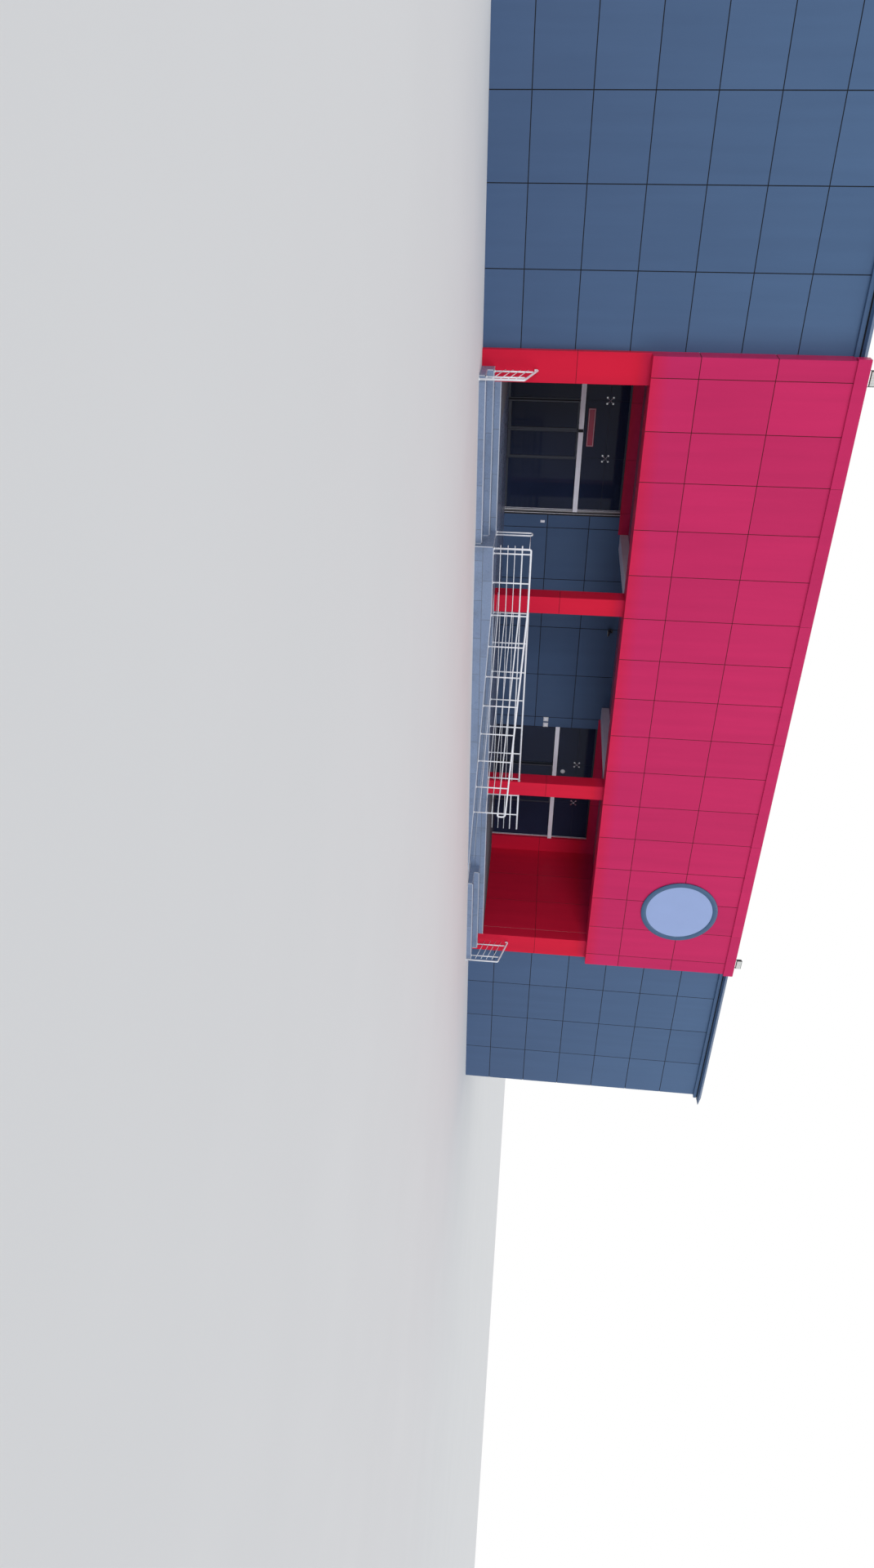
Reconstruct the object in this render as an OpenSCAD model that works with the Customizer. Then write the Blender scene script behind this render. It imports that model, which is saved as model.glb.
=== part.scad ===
// Supermarket building: a clad hall with a portal, a deep porch and sliding glass doors.
// X runs along the front to the right, Y runs back into the hall, Z is up.
// The front faces of the two wings lie at Y = 0, and the ground is at Z = 0.

/* [Portal] */
// Width of the portal over both end piers
portal_w = 20940; // [19000:20:24000]
// How far the fascia box stands in front of the wings
fascia_out = 520; // [420:10:800]
// Thickness of the fascia box shell
fascia_t = 200; // [100:10:240]
// Height of the fascia's lower edge
fascia_z = 4280; // [3900:10:4400]
// Height of the fascia panels' upper edge and of the wing walls
wall_top = 9220; // [8400:10:11000]
// Height of the coping on the fascia
coping_h = 335; // [250:5:450]
// How far the coping stands proud of the panels
coping_lip = 50; // [20:5:90]
// Width of one fascia panel
fascia_panel_w = 1326; // [900:2:1800]
// Height of the two upper rows of fascia panels
fascia_row_h = 1880; // [1200:10:2200]
// Width of the joints between red panels
red_joint_w = 14; // [6:1:24]
// Height of the joint in piers and columns
casing_joint_z = 2420; // [1800:10:3000]
// Width of the two end piers
pier_w = 790; // [600:10:1000]
// How far piers and columns stand in front of the wings
pier_out = 180; // [100:10:300]
// Width of the two inner columns
column_w = 520; // [400:10:700]
// Depth of the two inner columns
column_d = 500; // [400:10:700]
// Centre of the left column, from the middle of the portal
left_column_x = -3460; // [-3700:10:-3300]
// Centre of the right column, from the middle of the portal
right_column_x = 3120; // [2900:10:3300]

/* [Porch] */
// Depth of the porch behind the wing fronts
porch_d = 4900; // [4000:10:6000]
// Height of the porch ceiling
ceiling_z = 4600; // [4500:10:4800]
// Thickness of the slab over the porch
ceiling_t = 200; // [150:10:300]
// Depth of the ceiling beams below the ceiling
beam_h = 270; // [150:10:300]
// Width of one panel on the wall between the glazed fronts
porch_panel_w = 1815; // [1200:5:2400]
// Height of the lowest joint on that wall
porch_joint_z = 1940; // [1500:10:2400]

/* [Hall] */
// Length of each wing beside the portal
wing_w = 7320; // [5000:10:9000]
// Depth of the hall from the wing fronts to the rear wall
hall_d = 24000; // [16000:50:30000]
// Thickness of the outer walls
wall_t = 250; // [200:10:350]
// Width of one grey cladding panel
panel_w = 1830; // [1200:10:2400]
// Height of one row of grey cladding
panel_row_h = 1380; // [900:10:1800]
// Height of the topmost row of grey cladding
panel_top_h = 1350; // [900:10:1800]
// Width of the joints between grey panels
grey_joint_w = 22; // [10:1:30]
// Depth of the joints between panels
joint_d = 12; // [6:1:30]
// Height of the roof ridge
ridge_z = 8900; // [8600:10:9100]
// Fall of the roof from its ridge to the front and rear walls
roof_fall = 300; // [150:10:450]
// Thickness of the roof panels
roof_t = 180; // [120:10:250]
// Distance between the standing seams of the roof
seam_gap = 600; // [400:10:900]
// Height of the standing seams
seam_h = 60; // [30:5:80]
// Width of the gutters behind the front and rear walls
gutter_w = 300; // [200:10:400]
// Height of the cornice's lower band
cornice_low_h = 140; // [100:5:220]
// Projection of the cornice's lower band
cornice_low_out = 90; // [50:5:140]
// Height of the cornice's pointed upper band
cornice_high_h = 170; // [120:5:220]
// Projection of the upper band at its foot
cornice_foot_out = 160; // [145:5:175]
// Projection of the upper band at its nose
cornice_high_out = 280; // [180:5:300]
// Height of the nose above the lower band
cornice_nose_h = 50; // [30:5:80]
// Projection of the upper band at its top
cornice_top_out = 95; // [50:5:150]

/* [Platform and steps] */
// Height of one riser
riser = 172; // [150:1:180]
// Depth of the upper tread
tread = 370; // [300:5:420]
// Depth of the lower tread
lower_tread = 600; // [400:5:640]
// End of both stair flights, from the middle of the portal
stair_end = 10060; // [9900:10:10300]
// Left end of the ramp, where the left flight stops
ramp_left = -5650; // [-5800:10:-5200]
// Length of the level landing at the top of the ramp
landing_l = 1850; // [1400:10:2200]
// Length of the sloping run of the ramp
ramp_run = 10000; // [9000:50:10400]
// Width of the ramp
ramp_w = 1150; // [1000:10:1400]
// Gap between the foot of the ramp and the right flight
flight_gap = 300; // [100:10:600]

/* [Glazed doors] */
// Width of each glazed front
glazing_w = 5230; // [4800:10:5600]
// Height of the glazed fronts' upper edge
glazing_top = 4270; // [4100:10:4330]
// Width of the wall strip between the porch's left side and the exit
exit_strip_w = 30; // [20:5:400]
// Width of the wall strip between the entrance and the porch's right side
entrance_strip_w = 655; // [300:5:900]
// Width of each automatic doorway
doorway_w = 1760; // [1500:10:1800]
// Clear height of the doorways above the floor
doorway_h = 2210; // [2100:10:2400]
// Height of the header that hides the sliding gear
header_h = 150; // [130:5:200]
// Depth of the header
header_d = 110; // [105:5:130]
// Face width of the glazing bars
bar_w = 55; // [40:5:80]
// Depth of the glazing bars
bar_d = 60; // [50:5:90]
// Thickness of the glass
glass_t = 12; // [8:1:24]
// Distance of each glass holder from the doorway's centre line
holder_x = 890; // [700:10:1100]
// Height of the glass holders
holder_z = 3630; // [3400:10:3800]
// Reach of a holder's arms, sideways and up
holder_reach = 90; // [60:5:130]
// Thickness of a sliding leaf
leaf_t = 45; // [35:1:50]
// Distance that each leaf slides
leaf_travel = 800; // [600:10:830]

/* [Railings] */
// Height of the top rail above its floor
rail_h = 1040; // [950:10:1100]
// Diameter of the top rail
top_rail_d = 54; // [40:1:60]
// Diameter of the second rail
second_rail_d = 38; // [30:1:45]
// Diameter of the posts
post_d = 40; // [30:1:45]
// Diameter of the lower rails
low_rail_d = 20; // [14:1:28]
// Distance between posts
post_gap = 996; // [900:2:1100]
// Right end of the platform railing
platform_rail_end = 4840; // [4500:10:5200]
// Length of the platform railing past its last post
rail_overhang = 600; // [200:10:700]

/* [Floodlights] */
// Width of a floodlight
lamp_w = 380; // [300:10:450]
// Height of a floodlight
lamp_h = 250; // [200:10:300]
// Depth of a floodlight
lamp_d = 120; // [80:5:160]
// Distance of each floodlight from the portal's end
lamp_inset = 430; // [300:10:600]

/* [Hidden] */

$fn = 24;
bar_sides = 12;

seam_t = 30;
ridge_cap_w = 600;
ridge_cap_t = 20;

red = "#c8204a";
shaded_red = "#9c1f3c";
grey_blue = "#4b6386";
pale = "#c9ccd3";
tile = "#8f9fb4";
metal = "#e2e6ec";
glass = [0.12, 0.17, 0.22, 0.75];

half = portal_w / 2;
corner = half + wing_w;
inner = half - pier_w;
floor_z = 3 * riser;
porch_back = porch_d + wall_t;
exit_x = exit_strip_w + glazing_w / 2 - inner;
entrance_x = inner - entrance_strip_w - glazing_w / 2;
middle_left = exit_x + glazing_w / 2;
middle_right = entrance_x - glazing_w / 2;
beam_z = ceiling_z - beam_h;
column_back = column_d - pier_out;
beam_back = max(column_back, wall_t);
ridge_y = hall_d / 2;
eave_z = ridge_z - roof_fall;
step_front = -pier_out - tread - lower_tread;

porch_joint_in = 405;

// Gaps of the sliding doors
leaf_floor_gap = 8;
leaf_top_gap = 8;
leaf_meeting_gap = 4;
roller_gap = 0.3;
stile_w = 50;
leaf_foot_h = 90;
header_wall = 8;
header_lip = 10;
header_slot = 26;
hanger_t = 10;
hanger_w = 60;
roller_r = 20;
roller_l = 56;
stop_gap = 2;
stop_l = 40;

// Glass holders
arm_t = 12;
hub_d = 44;
pad_d = 28;
fin_t = 40;
fin_seat = 12;
fin_out = 30;
pane_joint = 10;

header_y = porch_d + 10;
frame_y = header_y + header_d;
leaf_y = header_y + header_d / 2;
header_z = floor_z + doorway_h;
leaf_w = (doorway_w - bar_w) / 2 + stile_w / 2;

rail_drops = [240, 440, 630, 830];
rail_inset = 70;
rail_stub = 100;
tube_lap = 3;
bend_step = 25;
rail_bend = 45;
ring_bend = 105;
double_post = 140;
hoop_w = 200;
hoop_bend = 80;
stair_rail_top = 1440;
stair_rail_foot = 1130;
stair_rail_gap = 35;
stair_hook = 90;
stair_post_in = 140;
tube_foot_gap = 100;
post_neck = 75;
neck_d = 14;

// A plan outline raised from z0 to z1
module raised(z0, z1) {
    translate([0, 0, z0]) linear_extrude(z1 - z0) children();
}

// A front elevation, drawn in X and Z, with its depth from y0 to y1
module deep(y0, y1) {
    translate([0, y1, 0]) rotate([90, 0, 0]) linear_extrude(y1 - y0) children();
}

// A cross-section, drawn in Y and Z, running from x0 to x1
module running(x0, x1) {
    translate([x0, 0, 0]) rotate([90, 0, 90]) linear_extrude(x1 - x0) children();
}

module area(x0, x1, y0, y1) {
    translate([x0, y0]) square([x1 - x0, y1 - y0]);
}

// The slab under hall and porch, with the porch reaching forward between the piers
module floor_slab() {
    inside = corner - wall_t;
    color(tile) raised(0, floor_z) polygon([
        [-inner, -pier_out], [inner, -pier_out], [inner, wall_t], [inside, wall_t],
        [inside, hall_d - wall_t], [-inside, hall_d - wall_t], [-inside, wall_t], [-inner, wall_t]
    ]);
}

// Two treads in front of the platform, which is the third
module flight(x0, x1) {
    color(tile) running(x0, x1) polygon([
        [step_front, 0], [-pier_out, 0], [-pier_out, 2 * riser],
        [-pier_out - tread, 2 * riser], [-pier_out - tread, riser], [step_front, riser]
    ]);
}

module left_steps() { flight(-stair_end, ramp_left); }

module right_steps() { flight(ramp_left + landing_l + ramp_run + flight_gap, stair_end); }

// A level landing and a long slope down to the right
module ramp() {
    top_end = ramp_left + landing_l;
    color(tile) deep(-pier_out - ramp_w, -pier_out) polygon([
        [ramp_left, 0], [top_end + ramp_run, 0], [top_end, floor_z], [ramp_left, floor_z]
    ]);
}

// Open joints across an outer side, drawn as plan strips that reach joint_d into the wall
module row_joints(top, row_h, first_h, w) {
    for (z = [top - first_h : -row_h : w])
        raised(z - w / 2, z + w / 2) children();
}

// Joints at equal distances along X, cut from y0 to y1
module column_joints(x0, x1, count, y0, y1, w) {
    for (i = [1 : count - 1])
        deep(y0, y1) area(x0 + i * (x1 - x0) / count - w / 2, x0 + i * (x1 - x0) / count + w / 2, 0, wall_top);
}

// The left wing's front, with joints that run round its outer corner
module wing_front() {
    difference() {
        deep(0, wall_t) area(-corner, -half, 0, wall_top);
        row_joints(wall_top, panel_row_h, panel_top_h, grey_joint_w) {
            area(-corner - 1, -half + 1, -1, joint_d);
            area(-corner - 1, joint_d - corner, -1, wall_t + 1);
        }
        column_joints(-corner, -half, round(wing_w / panel_w), -1, joint_d, grey_joint_w);
    }
}

module left_front_wall() { color(grey_blue) wing_front(); }

module right_front_wall() { color(grey_blue) mirror([1, 0, 0]) wing_front(); }

// The hall's front wall above the porch, behind the fascia box
module upper_front_wall() {
    color(grey_blue) deep(0, wall_t) area(-half, half, ceiling_z, wall_top);
}

// The left side of the hall between the front and the rear wall
module side_wall() {
    y0 = wall_t;
    y1 = hall_d - wall_t;
    count = round((y1 - y0) / panel_w);
    difference() {
        raised(0, wall_top) area(-corner, wall_t - corner, y0, y1);
        row_joints(wall_top, panel_row_h, panel_top_h, grey_joint_w)
            area(-corner - 1, joint_d - corner, y0 - 1, y1 + 1);
        for (i = [1 : count - 1])
            let(y = y0 + i * (y1 - y0) / count - grey_joint_w / 2)
                raised(0, wall_top) area(-corner - 1, joint_d - corner, y, y + grey_joint_w);
    }
}

module left_side_wall() { color(grey_blue) side_wall(); }

module right_side_wall() { color(grey_blue) mirror([1, 0, 0]) side_wall(); }

module rear_wall() {
    color(grey_blue) difference() {
        deep(hall_d - wall_t, hall_d) area(-corner, corner, 0, wall_top);
        row_joints(wall_top, panel_row_h, panel_top_h, grey_joint_w) {
            area(-corner - 1, corner + 1, hall_d - joint_d, hall_d + 1);
            area(-corner - 1, joint_d - corner, hall_d - wall_t - 1, hall_d + 1);
            area(corner - joint_d, corner + 1, hall_d - wall_t - 1, hall_d + 1);
        }
        column_joints(-corner, corner, round(2 * corner / panel_w), hall_d - joint_d, hall_d + 1, grey_joint_w);
    }
}

// Cross-section of the roof, or of its sheets raised by h for the seams and the ridge cap
module roof_slope(y0, h) {
    rise = roof_fall * (1 - (ridge_y - y0) / (ridge_y - wall_t));
    polygon([
        [y0, eave_z + rise - 1], [ridge_y, ridge_z - 1], [2 * ridge_y - y0, eave_z + rise - 1],
        [2 * ridge_y - y0, eave_z + rise + h], [ridge_y, ridge_z + h], [y0, eave_z + rise + h]
    ]);
}

// A low double-pitched roof behind the raised wall tops, with standing seams between two gutters
module roof() {
    inside = corner - wall_t;
    seams = round(2 * inside / seam_gap);
    gutter_d = roof_t / 2;
    color(pale) {
        running(-inside, inside) difference() {
            polygon([
                [wall_t, eave_z - roof_t], [ridge_y, ridge_z - roof_t], [hall_d - wall_t, eave_z - roof_t],
                [hall_d - wall_t, eave_z], [ridge_y, ridge_z], [wall_t, eave_z]
            ]);
            area(wall_t, wall_t + gutter_w, eave_z - gutter_d, ridge_z);
            area(hall_d - wall_t - gutter_w, hall_d - wall_t, eave_z - gutter_d, ridge_z);
        }
        for (i = [1 : seams - 1])
            let(x = -inside + i * 2 * inside / seams)
                running(x - seam_t / 2, x + seam_t / 2) roof_slope(wall_t + gutter_w, seam_h);
        running(-inside, inside) roof_slope(ridge_y - ridge_cap_w / 2, seam_h + ridge_cap_t);
    }
}

// Cross-section of the cornice: the wall's outer face at 0, outwards to the left
module cornice_section() {
    mid = wall_top + cornice_low_h;
    polygon([
        [wall_t, wall_top], [-cornice_low_out, wall_top], [-cornice_low_out, mid],
        [-cornice_foot_out, mid], [-cornice_high_out, mid + cornice_nose_h],
        [-cornice_top_out, mid + cornice_high_h], [wall_t, mid + cornice_high_h]
    ]);
}

// The left corner of the cornice, mitred between the front and the side
module cornice_corner() {
    intersection() {
        running(-corner - cornice_high_out, wall_t - corner) cornice_section();
        deep(-cornice_high_out, wall_t) translate([-corner, 0]) cornice_section();
    }
}

// Along the left wing's front and back along its side
module left_bands() {
    cornice_corner();
    running(-corner, -half) cornice_section();
    deep(0, hall_d - wall_t) translate([-corner, 0]) cornice_section();
}

module left_cornice() { color(grey_blue) left_bands(); }

module right_cornice() { color(grey_blue) mirror([1, 0, 0]) left_bands(); }

// The cornice over the rear wall, with both corners
module rear_cornice() {
    color(grey_blue) translate([0, hall_d, 0]) mirror([0, 1, 0]) {
        running(-corner, corner) cornice_section();
        for (side = [0, 1])
            mirror([side, 0, 0]) {
                cornice_corner();
                deep(0, wall_t) translate([-corner, 0]) cornice_section();
            }
    }
}

// The end piers close the porch against the wings
module left_pier() { casing(0, -half, -inner, wall_t); }

module right_pier() { casing(0, inner, half, wall_t); }

// A red sheet casing up to the fascia, with one joint right round it
module casing(foot, x0, x1, back) {
    color(red) difference() {
        raised(foot, fascia_z) area(x0, x1, -pier_out, back);
        raised(casing_joint_z - red_joint_w / 2, casing_joint_z + red_joint_w / 2) difference() {
            area(x0 - 1, x1 + 1, -pier_out - 1, back + 1);
            area(x0 + joint_d, x1 - joint_d, joint_d - pier_out, back - joint_d);
        }
    }
}

module column(x) { casing(floor_z, x - column_w / 2, x + column_w / 2, column_back); }

module left_column() { column(left_column_x); }

module right_column() { column(right_column_x); }

// The beam on piers and columns that carries the fascia and the upper wall
module portal_beam() {
    color(red) running(-half, half)
        area(fascia_t - fascia_out, beam_back, fascia_z, ceiling_z);
}

// A box open to the rear: the panelled front and its two returns
module fascia() {
    joint = red_joint_w / 2;
    color(red) difference() {
        union() {
            deep(-fascia_out, fascia_t - fascia_out) area(-half, half, fascia_z, wall_top);
            for (side = [0, 1])
                mirror([side, 0, 0]) raised(ceiling_z, wall_top)
                    area(half - fascia_t, half, fascia_t - fascia_out, 0);
        }
        for (row = [1, 2])
            let(z = wall_top - row * fascia_row_h)
                raised(z - joint, z + joint) difference() {
                    area(-half - 1, half + 1, -fascia_out - 1, 1);
                    area(joint_d - half, half - joint_d, joint_d - fascia_out, 2);
                }
        for (x = [fascia_panel_w / 2 : fascia_panel_w : half - fascia_panel_w / 4])
            for (side = [-1, 1])
                deep(-fascia_out - 1, joint_d - fascia_out)
                    area(side * x - joint, side * x + joint, fascia_z - 1, wall_top + 1);
    }
}

// The cap over fascia box and wall, proud of the panels at the front
module fascia_coping() {
    front = -fascia_out - coping_lip;
    side = half + coping_lip;
    neck = fascia_t - fascia_out;
    color(red) raised(wall_top, wall_top + coping_h) polygon([
        [-side, front], [side, front], [side, neck], [half, neck],
        [half, wall_t], [-half, wall_t], [-half, neck], [-side, neck]
    ]);
}

// One side of the porch, notched at its front top for the portal beam
module porch_side_wall(x0) {
    color(shaded_red) running(x0, x0 + wall_t) polygon([
        [wall_t, floor_z], [porch_back, floor_z], [porch_back, ceiling_z],
        [beam_back, ceiling_z], [beam_back, fascia_z], [wall_t, fascia_z]
    ]);
}

module porch_left_wall() { porch_side_wall(-inner - wall_t); }

module porch_right_wall() { porch_side_wall(inner); }

module porch_middle_wall() {
    joint = grey_joint_w / 2;
    color(grey_blue) difference() {
        deep(porch_d, porch_back) area(middle_left, middle_right, floor_z, ceiling_z);
        deep(porch_d - 1, porch_d + joint_d) {
            for (z = [porch_joint_z, porch_joint_z + panel_row_h])
                area(middle_left - 1, middle_right + 1, z - joint, z + joint);
            for (x = [middle_right - porch_joint_in : -porch_panel_w : middle_left + joint])
                area(x - joint, x + joint, floor_z - 1, ceiling_z + 1);
        }
    }
}

// The strips of wall that close the porch beside the two glazed fronts
module porch_end_strip() {
    color(shaded_red) deep(porch_d, porch_back) {
        area(entrance_x + glazing_w / 2, inner, floor_z, ceiling_z);
        area(-inner, exit_x - glazing_w / 2, floor_z, ceiling_z);
    }
}

module lintel(x) {
    color(shaded_red) deep(porch_d, porch_back)
        area(x - glazing_w / 2, x + glazing_w / 2, glazing_top, ceiling_z);
}

module exit_lintel() { lintel(exit_x); }

module entrance_lintel() { lintel(entrance_x); }

module porch_ceiling() {
    color(pale) raised(ceiling_z, ceiling_z + ceiling_t)
        area(-inner - wall_t, inner + wall_t, wall_t, porch_back);
}

module ceiling_beam(x) {
    color(pale) raised(beam_z, ceiling_z)
        area(x - column_w / 2, x + column_w / 2, beam_back, porch_d);
}

module left_ceiling_beam() { ceiling_beam(left_column_x); }

module right_ceiling_beam() { ceiling_beam(right_column_x); }

// Clear openings of the two fixed lights beside a doorway
module side_lights() {
    edge = glazing_w / 2 - bar_w;
    jamb = doorway_w / 2;
    for (x = [[-edge, -jamb - bar_w], [jamb + bar_w, edge]])
        area(x[0], x[1], floor_z + bar_w, header_z);
}

// The clear opening above the header, which the frameless glass fills
module upper_light() {
    area(bar_w - glazing_w / 2, glazing_w / 2 - bar_w, header_z + header_h, glazing_top - bar_w);
}

// Bars of one glazed front, with the doorway open down to the floor and no bars in the upper light
module glazing_frame(x) {
    color(metal) translate([x, 0, 0]) {
        deep(frame_y, frame_y + bar_d) difference() {
            area(-glazing_w / 2, glazing_w / 2, floor_z, glazing_top);
            side_lights();
            upper_light();
            area(-doorway_w / 2, doorway_w / 2, floor_z, header_z);
        }
        for (side = [-1, 1])
            translate([side * holder_x, 0, 0]) holder();
    }
}

// A four-armed glass holder behind the panes, on a fin that stands on the bar behind the header
module holder() {
    behind = frame_y + bar_d / 2 + glass_t / 2;
    deep(behind, behind + arm_t) for (rise = [-1, 1])
        hull() for (x = [-holder_reach, holder_reach])
            translate([x, holder_z + rise * x]) circle(d = pad_d);
    deep(behind, frame_y + bar_d) translate([0, holder_z]) circle(d = hub_d);
    deep(frame_y + bar_d - fin_seat, frame_y + bar_d + fin_out)
        area(-fin_t / 2, fin_t / 2, header_z + header_h - fin_seat, holder_z);
}

// Panes of the upper light, parted by open joints at the glass holders, and the two fixed lights
module glazing_glass(x) {
    middle = frame_y + bar_d / 2;
    color(glass) translate([x, 0, 0]) deep(middle - glass_t / 2, middle + glass_t / 2) {
        side_lights();
        difference() {
            upper_light();
            area(-glazing_w / 2, glazing_w / 2, holder_z - pane_joint / 2, holder_z + pane_joint / 2);
            for (side = [-1, 1])
                area(side * holder_x - pane_joint / 2, side * holder_x + pane_joint / 2, header_z, glazing_top);
        }
    }
}

// A channel closed at the top, with two lips that the door rollers run on
// and a stop for the outer hanger of each leaf at the end of its travel
module header(x) {
    inside_y = header_d - 2 * header_wall;
    stop_x = leaf_meeting_gap + 3 * leaf_w / 4 + hanger_w / 2 + leaf_travel + stop_gap;
    color(metal) translate([x, header_y, header_z]) {
        running(-glazing_w / 2, glazing_w / 2) difference() {
            square([header_d, header_h]);
            translate([header_wall, header_lip]) square([inside_y, header_h - header_wall - header_lip]);
            translate([(header_d - header_slot) / 2, 0]) square([header_slot, header_lip]);
        }
        for (side = [0, 1])
            mirror([side, 0, 0]) running(stop_x, stop_x + stop_l)
                translate([header_wall, header_lip]) square([inside_y, header_h - header_wall - header_lip]);
    }
}

// A sliding leaf drawn to the right of the doorway's centre line, hanging on two rollers
module leaf() {
    bottom = floor_z + leaf_floor_gap;
    top = header_z - leaf_top_gap;
    x0 = leaf_meeting_gap;
    x1 = x0 + leaf_w;
    axle_z = header_z + header_lip + roller_gap + roller_r;
    color(metal) {
        deep(leaf_y - leaf_t / 2, leaf_y + leaf_t / 2) difference() {
            area(x0, x1, bottom, top);
            area(x0 + stile_w, x1 - stile_w, bottom + leaf_foot_h, top - stile_w);
        }
        deep(leaf_y - glass_t / 2, leaf_y + glass_t / 2)
            area(x0 + stile_w, x1 - stile_w, bottom + leaf_foot_h, top - stile_w);
        for (x = [x0 + leaf_w / 4, x1 - leaf_w / 4]) {
            deep(leaf_y - hanger_t / 2, leaf_y + hanger_t / 2)
                area(x - hanger_w / 2, x + hanger_w / 2, top, axle_z);
            translate([x, leaf_y + roller_l / 2, axle_z]) rotate([90, 0, 0]) cylinder(h = roller_l, r = roller_r);
        }
    }
}

module right_leaf(x) { translate([x, 0, 0]) leaf(); }

module left_leaf(x) { translate([x, 0, 0]) mirror([1, 0, 0]) leaf(); }

module exit_frame() { glazing_frame(exit_x); }

module exit_glass() { glazing_glass(exit_x); }

module exit_header() { header(exit_x); }

module exit_left_leaf() { left_leaf(exit_x); }

module exit_right_leaf() { right_leaf(exit_x); }

module entrance_frame() { glazing_frame(entrance_x); }

module entrance_glass() { glazing_glass(entrance_x); }

module entrance_header() { header(entrance_x); }

module entrance_left_leaf() { left_leaf(entrance_x); }

module entrance_right_leaf() { right_leaf(entrance_x); }

// A round bar between two points
module bar(from, to, d) {
    run = to - from;
    translate(from) rotate([0, acos(run.z / norm(run)), atan2(run.y, run.x)])
        cylinder(h = norm(run), d = d, $fn = bar_sides);
}

// Points of a flat path of [x, y, radius], with each bend in short chords
function chords(path) = [
    for (i = [0 : len(path) - 1])
        let(
            here = path[i], before = path[max(i - 1, 0)], after = path[min(i + 1, len(path) - 1)],
            into = atan2(here.y - before.y, here.x - before.x),
            turn = (atan2(after.y - here.y, after.x - here.x) - into + 540) % 360 - 180
        )
        if (here.z == 0) [here.x, here.y]
        else
            let(
                back = here.z * tan(abs(turn) / 2),
                side = into + sign(turn) * 90,
                middle = [here.x, here.y] - back * [cos(into), sin(into)] + here.z * [cos(side), sin(side)],
                n = ceil(abs(turn) / bend_step)
            )
            each [
                for (k = [0 : n])
                    let(angle = side + k * turn / n) middle - here.z * [cos(angle), sin(angle)]
            ]
];

// A round tube along such a path. The straight lengths run on past each joint, so that they close it.
module tube(path, d) {
    points = chords(path);
    last = len(points) - 1;
    function heading(i) = let(run = points[i + 1] - points[i]) atan2(run.y, run.x);
    function lap(i) = i < 1 || i >= last ? 0 :
        let(turn = abs((heading(i) - heading(i - 1) + 540) % 360 - 180))
            max(tube_lap, 0.55 * d * tan(turn / 2));
    for (i = [0 : last - 1])
        translate([points[i].x, points[i].y]) rotate(heading(i)) translate([-lap(i), 0]) rotate([0, 90, 0])
            cylinder(h = norm(points[i + 1] - points[i]) + lap(i) + lap(i + 1), d = d, $fn = bar_sides);
}

// A second rail and three thin ones at their drops below a path of the top rail
module lower_rails(path) {
    for (i = [0 : len(path) - 2], k = [0 : 3])
        let(drop = [0, 0, rail_drops[k]])
            bar(path[i] - drop, path[i + 1] - drop, k == 0 ? second_rail_d : low_rail_d);
}

// A post from its floor up to the top rail's middle
module post(x, y, foot, top) { bar([x, y, foot], [x, y, top], post_d); }

function ramp_z(x) = let(top_end = ramp_left + landing_l)
    x < top_end ? floor_z : floor_z * (1 - (x - top_end) / ramp_run);

// Height of the top rail's middle above a floor
rail_mid = rail_h - top_rail_d / 2;

// A falling rail that starts in a hook by the pier and ends as its own upright in front of the steps.
// The two posts stop below it and carry it on pins.
module stair_railing(side) {
    x = side * (stair_end - rail_inset);
    back = -pier_out - stair_rail_gap;
    front = step_front - tube_foot_gap;
    slope = (stair_rail_top - stair_rail_foot) / (back - front);
    lower_end = front + rail_stub;
    posts = [[-pier_out - tread + stair_post_in, 2 * riser], [step_front + stair_post_in, riser]];
    function rail_z(y) = stair_rail_foot + slope * (y - front);
    color(metal) {
        translate([x, 0, 0]) rotate([90, 0, 90]) tube([
            [back, stair_rail_top - stair_hook, 0], [back, stair_rail_top, rail_bend],
            [front, stair_rail_foot, rail_bend], [front, 0, 0]
        ], top_rail_d);
        for (p = posts) {
            bar([x, p[0], p[1]], [x, p[0], rail_z(p[0]) - post_neck], post_d);
            bar([x, p[0], rail_z(p[0]) - post_neck], [x, p[0], rail_z(p[0])], neck_d);
        }
        for (drop = rail_drops)
            bar([x, back, rail_z(back) - drop], [x, lower_end, rail_z(lower_end) - drop], low_rail_d);
    }
}

module left_stair_railing() { stair_railing(-1); }

module right_stair_railing() { stair_railing(1); }

// Along the ramp's outer edge: the top rail bends down into the corner post, and at the foot
// it turns back into the second rail. A bar and a hoop close the railing beside the left flight.
// The posts' feet are cut to the slope that they stand on.
module ramp_railing() {
    y = -pier_out - ramp_w + rail_inset;
    x0 = ramp_left + rail_inset;
    top = floor_z + rail_mid;
    top_end = ramp_left + landing_l;
    spaces = 9;
    end_x = x0 + spaces * post_gap;
    ring_x = end_x + ring_bend + top_rail_d / 2;
    hoop_y = -pier_out - rail_inset;
    color(metal) {
        difference() {
            for (i = [1 : spaces])
                let(x = x0 + i * post_gap) post(x, y, ramp_z(x) - post_d, ramp_z(x) + rail_mid);
            ramp();
        }
        post(x0 + double_post, y, floor_z, top);
        translate([0, y, 0]) rotate([90, 0, 0]) tube([
            [x0, floor_z, 0], [x0, top, rail_bend], [top_end, top, 0],
            [ring_x, ramp_z(ring_x) + rail_mid, ring_bend],
            [ring_x, ramp_z(ring_x) + rail_mid - rail_drops[0], ring_bend],
            [end_x, ramp_z(end_x) + rail_mid - rail_drops[0], 0]
        ], top_rail_d);
        lower_rails([
            [x0 - rail_stub, y, top], [top_end, y, top], [end_x, y, ramp_z(end_x) + rail_mid]
        ]);
        bar([x0, y, top - rail_bend], [x0, hoop_y, top - rail_bend], low_rail_d);
        translate([x0, 0, 0]) rotate([90, 0, 90]) tube([
            [hoop_y, floor_z, 0], [hoop_y, top, hoop_bend],
            [hoop_y + hoop_w, top, hoop_bend], [hoop_y + hoop_w, floor_z, 0]
        ], post_d);
    }
}

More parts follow.
